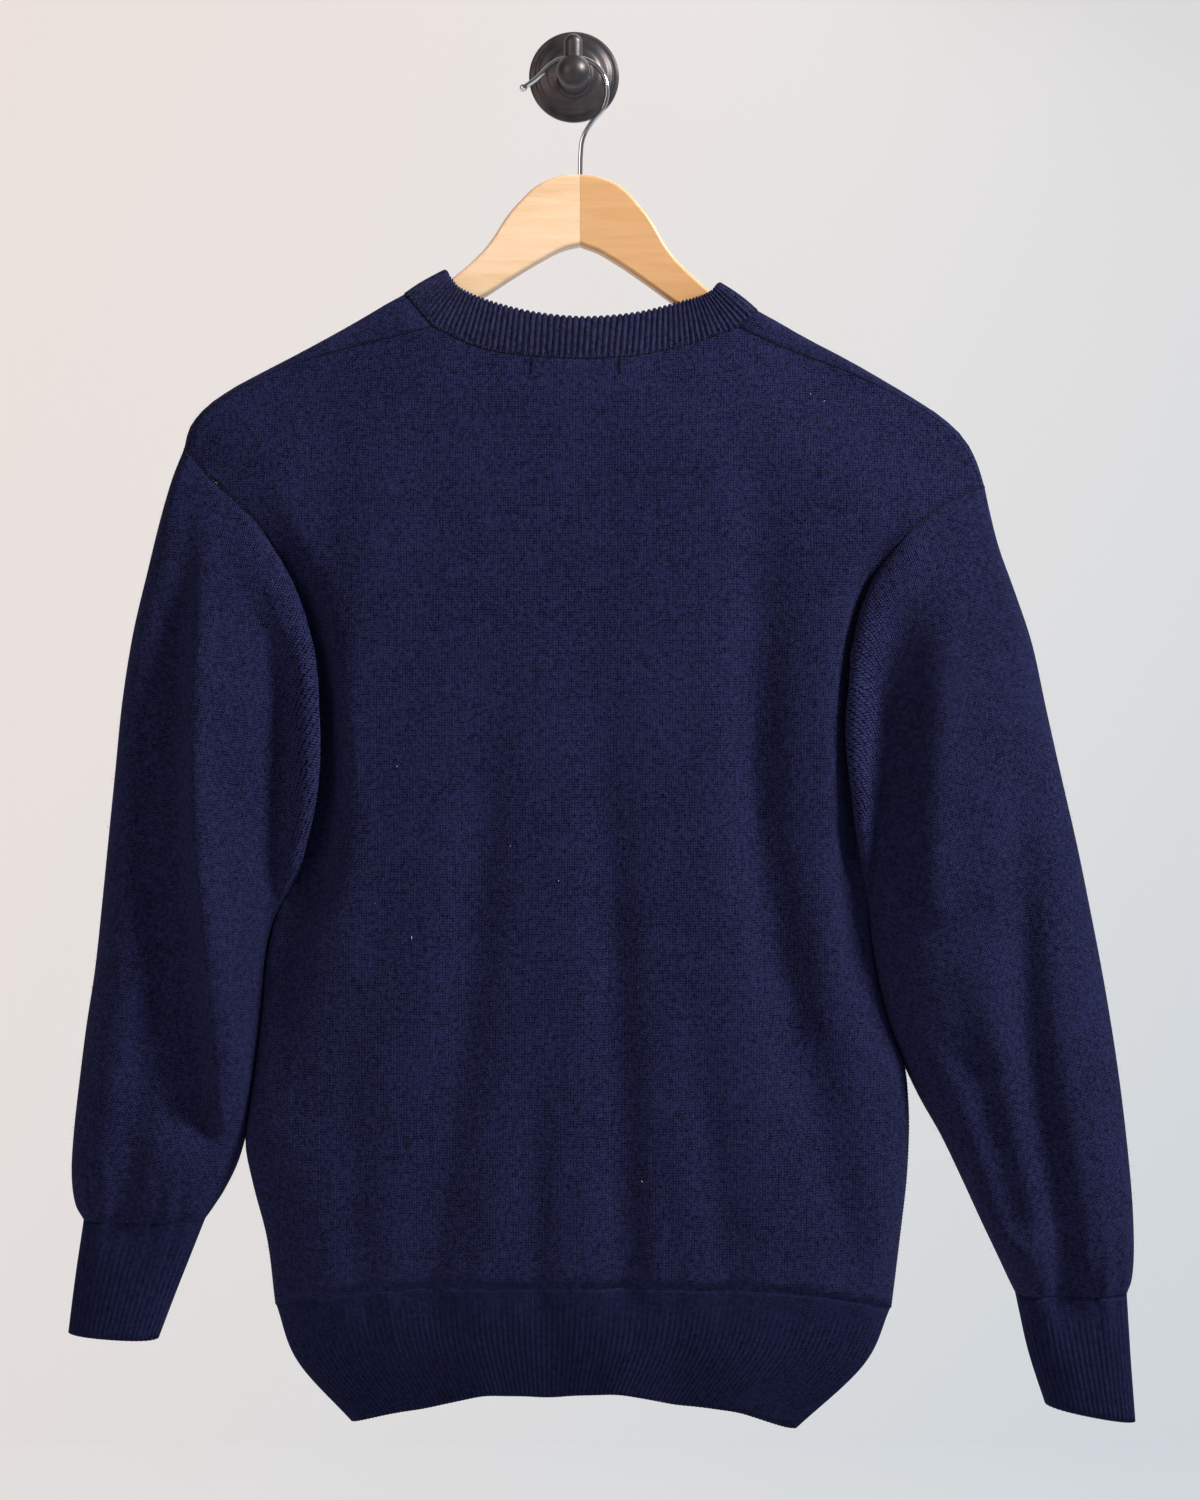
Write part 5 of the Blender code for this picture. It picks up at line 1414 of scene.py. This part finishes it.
def turns_round(sides):
    """The angles of a ring's points."""
    return np.arange(sides) * 2 * math.pi / sides


def tube(name, path, radii, material):
    """A round tube through points in millimetres that lie in the hanger's plane."""
    steps = np.gradient(path, axis=0)
    steps = steps / np.linalg.norm(steps, axis=-1, keepdims=True)
    points = []
    for (x, z), (dx, dz), radius in zip(path, steps, radii):
        for turn in turns_round(WIRE_SIDES):
            off = radius * math.cos(turn)
            points.append(((x - dz * off) * MM, (HANGER_PLANE + radius * math.sin(turn)) * MM,
                           (z + dx * off) * MM))
    return ringed(name, points, WIRE_SIDES, material)


def wire_path():
    """The wire's middle line and radius, with the rounded end."""
    path = along(plan(WIRE), np.linspace(0, 1, WIRE_POINTS))
    foot = np.array([[path[0][0], HANGER_MIDDLE[1] - WIRE_DEPTH_IN_WOOD]])
    path = np.concatenate([foot, path])
    step = (path[-1] - path[-2]) / np.linalg.norm(path[-1] - path[-2])
    ahead = WIRE_TIP_AHEAD + WIRE_TIP_RADIUS * np.sin(WIRE_TIP_TURNS)
    radii = [WIRE_RADIUS] * len(path) + list(WIRE_TIP_RADIUS * np.cos(WIRE_TIP_TURNS))
    return np.concatenate([path, path[-1] + ahead[:, None] * step]), radii


hand_over(tube("chrome_wire_hook", *wire_path(), chrome), "hanger_wire")

# %% [markdown]
# The wall hook is turned and cast metal with a dark oil-rubbed bronze finish: a stepped round
# plate, a post with a ball end, and a short upright pin on the ball. Turned shapes are a
# profile spun round an axis. The finish is nearly black, worn a little lighter and browner
# where hands and hangers rub it.

# %% Wall hook
POST_START = (0.0, -11.3, -5.0)
POST_REACH = 34.7
POST_DROP = 3.9
BALL_RADIUS = 10.0
PIN_RADIUS = 5.5
PIN_RISE = 21.9
BALL_NECK = -35
BALL_POLE = 88
BALL_RINGS = 24
SPUN_SIDES = 72
SPUN_CORNER = math.radians(50)
PROFILE_TIMES = 6
PLATE = table("along radius", (0, 27.5), (2.6, 27.5), (4.2, 26.2), (4.6, 24.2), (6.2, 23.4),
              (7.4, 21.5), (9.6, 16), (11, 11))
POST = table("along radius", (0, 10.5), (2.5, 9), (9, 8.6), (17, 9), (25, 9), (27.5, 9.2))


def oil_rubbed_bronze():
    """Near-black plated bronze with brown rubbed places."""
    material, tree, shader = new_material("oil_rubbed_bronze", Metallic=0.6, Roughness=0.42)
    place = add(tree, "ShaderNodeTexCoord")
    patches = add(tree, "ShaderNodeTexNoise",
                  {"Vector": place.outputs["Object"], "Scale": 90.0, "Detail": 5.0})
    worn = add(tree, "ShaderNodeValToRGB", {"Fac": patches.outputs["Fac"]})
    set_stops(worn, (0.35, "#34333a"), (0.8, "#57504f"))
    speckle = add(tree, "ShaderNodeTexNoise",
                  {"Vector": place.outputs["Object"], "Scale": 900.0, "Detail": 2.0})
    bump = add(tree, "ShaderNodeBump",
               {"Height": speckle.outputs["Fac"], "Strength": 0.15, "Distance": 0.0002})
    tree.links.new(worn.outputs["Color"], shader.inputs["Base Color"])
    tree.links.new(bump.outputs["Normal"], shader.inputs["Normal"])
    return material


bronze = oil_rubbed_bronze()


def spun(name, places, radii, start, upright, sink=0.0):
    """A profile spun round an axis: out of the wall, or upright. It sinks along its way out."""
    points = []
    for place, radius in zip(places, radii):
        for turn in turns_round(SPUN_SIDES):
            c, s = radius * math.cos(turn), radius * math.sin(turn)
            local = (c, s, place) if upright else (c, -place, s - sink * place)
            points.append(tuple((a + b) * MM for a, b in zip(start, local)))
    piece = ringed(name, points, SPUN_SIDES, bronze)
    piece.data.set_sharp_from_angle(angle=SPUN_CORNER)
    return piece


def rounded_profile(sizes):
    """A turned profile with soft steps between its few sizes."""
    marks = np.arange(len(sizes["along"]), dtype=float)
    at = finer(marks, PROFILE_TIMES)
    bend = at - np.floor(at)
    eased = np.floor(at) + bend * bend * (3 - 2 * bend)
    return np.interp(at, marks, sizes["along"]), np.interp(eased, marks, sizes["radius"])


def ball_profile(middle, radius, first_turn):
    """Places and radii of a ball, from a turn before its equator to its pole."""
    turns = np.radians(np.linspace(first_turn, BALL_POLE, BALL_RINGS))
    return middle + radius * np.sin(turns), radius * np.cos(turns)


plate = spun("bronze_wall_plate", *rounded_profile(PLATE), (0, 0, 0), False)
ball_places, ball_radii = ball_profile(POST_REACH, BALL_RADIUS, BALL_NECK)
post_places, post_radii = rounded_profile(POST)
post = spun("bronze_post", [*post_places, *ball_places], [*post_radii, *ball_radii], POST_START, False,
            POST_DROP / POST_REACH)
ball_middle = (POST_START[0], POST_START[1] - POST_REACH, POST_START[2] - POST_DROP)
tip_places, tip_radii = ball_profile(PIN_RISE - PIN_RADIUS, PIN_RADIUS, 0)
pin = spun("bronze_pin", [0, *tip_places], [PIN_RADIUS, *tip_radii], ball_middle, True)
hand_over(plate, "wall_plate")
hand_over(post, "hook_post")
hand_over(pin)

# %% [markdown]
# The pieces of the real sweater are linked together stitch by stitch, which leaves a fine
# ridge along each seam. Geometry Nodes set one small stitch after another along each seam's
# line: the line is resampled to the stitch length, each point takes a copy of one short
# rounded stitch turned along the line, and the copies are made real.

# %% Seam stitches
STITCH_PITCH = 0.0021
STITCH_RADIUS = 0.00042
STITCH_OVERLAP = 1.05
STITCH_SLANT = 0.0004
STITCH_SIDES = 6
STITCH_RINGS = ((-0.5, 0.35), (-0.25, 0.95), (0.25, 0.95), (0.5, 0.35))
TACK_PLACES = (-26.0, 30.5)
TACK_ROWS = 8
TACK_RISE = 0.5


def stitch_shape():
    """One short rounded stitch along Z, a little slanted."""
    points = []
    for place, share in STITCH_RINGS:
        radius = share * STITCH_RADIUS
        points += [(radius * math.cos(turn) + place * STITCH_SLANT, radius * math.sin(turn),
                    place * STITCH_PITCH * STITCH_OVERLAP) for turn in turns_round(STITCH_SIDES)]
    return ringed("stitch_shape", points, STITCH_SIDES, thread)


def seam_tree(shape):
    """Puts a stitch at every pitch along the incoming lines."""
    tree, start = open_tree("seam_stitches", "Pitch")
    line = add(tree, "GeometryNodeMeshToCurve", {"Mesh": start.outputs["Geometry"]})
    spots = add(tree, "GeometryNodeCurveToPoints",
                {"Curve": line.outputs[0], "Length": start.outputs["Pitch"]}, mode="LENGTH")
    stitch = add(tree, "GeometryNodeObjectInfo", {"Object": shape})
    copies = add(tree, "GeometryNodeInstanceOnPoints", {"Points": spots.outputs["Points"],
                                                        "Instance": stitch.outputs["Geometry"],
                                                        "Rotation": spots.outputs["Rotation"]})
    return close_tree(tree, start, copies)


def line_object(name, lines):
    """Chains of points in millimetres as one mesh of edges."""
    points, edges = [], []
    for line in lines:
        first = len(points)
        points += [tuple(p) for p in np.asarray(line) * MM]
        edges += [(i, i + 1) for i in range(first, len(points) - 1)]
    mesh = bpy.data.meshes.new(name)
    mesh.from_pydata(points, edges, [])
    return new_object(name, mesh)


thread, _, _ = new_material("linking_yarn", Base_Color=linear("#0d0e20"), Roughness=0.95,
                            Sheen_Weight=0.05, Sheen_Roughness=0.5, Specular_IOR_Level=0.1)
STITCH = stitch_shape()
SEAMS = seam_tree(STITCH)


def stitched(name, lines):
    """Rows of linking stitches along seams, as one plain mesh."""
    seam = line_object(name, lines)
    run_tree(seam, SEAMS, Pitch=STITCH_PITCH, Material=thread)
    seam.data.shade_smooth()
    hand_over(seam)


def tack(x):
    """A short upright row of tack stitches that show on the back panel, under the band."""
    column = np.abs(back[-1, :, 0] - x).argmin()
    return back[-1 - TACK_ROWS:-1, column][::-1] - (0, TACK_RISE, 0)


neck_seam = np.concatenate([neck_base, neck_base[:1]])
shoulder_seams = [back[-1, :SHOULDER_COLUMNS], back[-1, -SHOULDER_COLUMNS:]]
side_seams = [back[:LAST_SIDE_ROW + 1, edge] for edge in (0, -1)]
stitched("seam_stitches_neck", [neck_seam])
stitched("seam_stitches_shoulders", shoulder_seams)
stitched("seam_stitches_armholes", [sleeve_left[0], sleeve_right[0]])
stitched("seam_stitches_sides", side_seams)
stitched("label_tacks", [tack(x) for x in TACK_PLACES])

# %% [markdown]
# Lambswool is hairy: fine fibres stand out of the yarn, lean with the knit, and blur its edge
# against the wall. Geometry Nodes scatter short bent fibres over each sheet with a fixed seed,
# each turned a little differently, and a few pale specks of lint lie on top of them.

# %% Fibre tree
FIBRE_LENGTH = 0.0026
FIBRE_BEND = ((0, 0), (0.0003, FIBRE_LENGTH * 0.55), (0.0011, FIBRE_LENGTH))
FIBRE_WIDTH = 0.00006
FIBRE_DENSITY = 36000.0
FIBRE_SEED = 11
SPECK_BEND = ((0, 0), (0.0002, 0.0004), (0.0009, 0.0007))
SPECK_WIDTH = 0.00045
LINT_DENSITY = 60.0
LINT_SEED = 29
TIP_TAPER = 0.8
MOST_LEAN = (0.95, 0.95, math.pi)
SMALLEST, LARGEST = 0.4, 1.5


def strip_shape(name, points, width):
    """A narrow strip through a few points, standing along Z."""
    mesh = bpy.data.meshes.new(name)
    verts, faces = [], []
    for i, (x, z) in enumerate(points):
        half = width / 2 * (1 - TIP_TAPER * i / (len(points) - 1))
        verts += [(x, -half, z), (x, half, z)]
    for i in range(len(points) - 1):
        faces.append((2 * i, 2 * i + 1, 2 * i + 3, 2 * i + 2))
    mesh.from_pydata(verts, [], faces)
    return new_object(name, mesh)


def scatter_tree(name, shape, seed):
    """Scatters copies of a small shape over a sheet, leaning and turned at random."""
    tree, start = open_tree(name, "Density")
    spots = add(tree, "GeometryNodeDistributePointsOnFaces", {"Mesh": start.outputs["Geometry"],
                                                              "Density": start.outputs["Density"],
                                                              "Seed": seed})
    least_lean = tuple(-most for most in MOST_LEAN)
    lean = add(tree, "FunctionNodeRandomValue", {0: least_lean, 1: MOST_LEAN, "Seed": seed + 1},
               data_type="FLOAT_VECTOR")
    turned = add(tree, "FunctionNodeRotateRotation", {0: spots.outputs["Rotation"],
                                                      1: lean.outputs["Value"]}, rotation_space="LOCAL")
    size = add(tree, "FunctionNodeRandomValue", {2: SMALLEST, 3: LARGEST, "Seed": seed + 2},
               data_type="FLOAT")
    fibre = add(tree, "GeometryNodeObjectInfo", {"Object": shape})
    copies = add(tree, "GeometryNodeInstanceOnPoints", {"Points": spots.outputs["Points"],
                                                        "Instance": fibre.outputs["Geometry"],
                                                        "Rotation": turned.outputs[0],
                                                        "Scale": size.outputs[1]})
    return close_tree(tree, start, copies)


def scattered(name, grids, tree, density, material):
    """Copies scattered over sheets of points, as one plain mesh."""
    piece = cloth(name, grids, [grid[..., [0, 2]] * MM for grid in grids], material, BODY_MIDDLE)
    run_tree(piece, tree, Density=density, Material=material)
    hand_over(piece)


FIBRE = strip_shape("fibre_shape", FIBRE_BEND, FIBRE_WIDTH)
SPECK = strip_shape("speck_shape", SPECK_BEND, SPECK_WIDTH)
FIBRES = scatter_tree("stray_fibres", FIBRE, FIBRE_SEED)
LINTS = scatter_tree("lint_specks", SPECK, LINT_SEED)
fibre_wool, _, _ = new_material("stray_lambswool_fibre", Base_Color=linear("#23264a"), Roughness=0.9,
                                Specular_IOR_Level=0.1)
lint, _, _ = new_material("pale_lint", Base_Color=linear("#b9b4ab"), Roughness=0.9)

# %% Fibres and lint
for name, grids, slot in (("back", [back], "back_panel"),
                          ("front", FRONT_GRIDS, "front_panel"),
                          ("sleeve_left", [sleeve_left], "sleeve_left"),
                          ("sleeve_right", [sleeve_right], "sleeve_right")):
    scattered("fibres_" + name, grids, FIBRES, FIBRE_DENSITY, fibre_wool)
    scattered("lint_" + name, grids, LINTS, LINT_DENSITY, lint)

# %% [markdown]
# Each knitted sheet is listed with its flat cut: the panels' own shapes, and the sleeves and
# cuffs all round, opened along the underarm. The sizes are measured along these sheets.

# %% Flat sizes
def flat_size(grid):
    """Width, length and area of a grid of points along its surface, in metres."""
    across = np.linalg.norm(np.diff(grid, axis=1), axis=-1)
    down = np.linalg.norm(np.diff(grid, axis=0), axis=-1)
    u = grid[1:, 1:] - grid[:-1, :-1]
    v = grid[1:, :-1] - grid[:-1, 1:]
    area = np.linalg.norm(np.cross(u, v), axis=-1).sum() / 2
    return across.sum(1).max() * MM, down.sum(0).max() * MM, area * MM * MM


ARMS = ["hanger_arm_left", "hanger_arm_right"]
PANELS = ["knit_back", "knit_front"]
SHEETS = (
    # piece, grids, width, length, flat area, what it hangs from
    ("knit_back", [back], 0.45, 0.58, 0.222, ARMS),
    ("knit_front", FRONT_GRIDS, 0.44, 0.63, 0.216, ARMS),
    ("knit_sleeve_left", [sleeve_left], 0.42, 0.50, 0.116, PANELS),
    ("knit_sleeve_right", [sleeve_right], 0.42, 0.52, 0.129, PANELS),
    ("knit_hem_rib_back", [HEMS["back"]], 0.40, 0.093, 0.026, ["knit_back"]),
    ("knit_hem_rib_front", [HEMS["front"]], 0.40, 0.093, 0.025, ["knit_front"]),
    ("knit_cuff_left", [CUFFS["left"]], 0.18, 0.076, 0.0107, ["knit_sleeve_left"]),
    ("knit_cuff_right", [CUFFS["right"]], 0.17, 0.076, 0.0105, ["knit_sleeve_right"]),
    ("knit_neckband", [band], 0.57, 0.064, 0.029, PANELS),
)
for name, grids, width, length, area, held_by in SHEETS:
    measured = [flat_size(grid) for grid in grids]
    print(name, "measures", [round(float(v), 4) for v in np.max(measured, axis=0)[:2]],
          round(float(sum(size[2] for size in measured)), 4), "flat", width, length, area)

# %% [markdown]
# The last cell removes the shapes that were only copied.

# %% Finish
for shape in (STITCH, FIBRE, SPECK):
    bpy.data.objects.remove(shape, do_unlink=True)
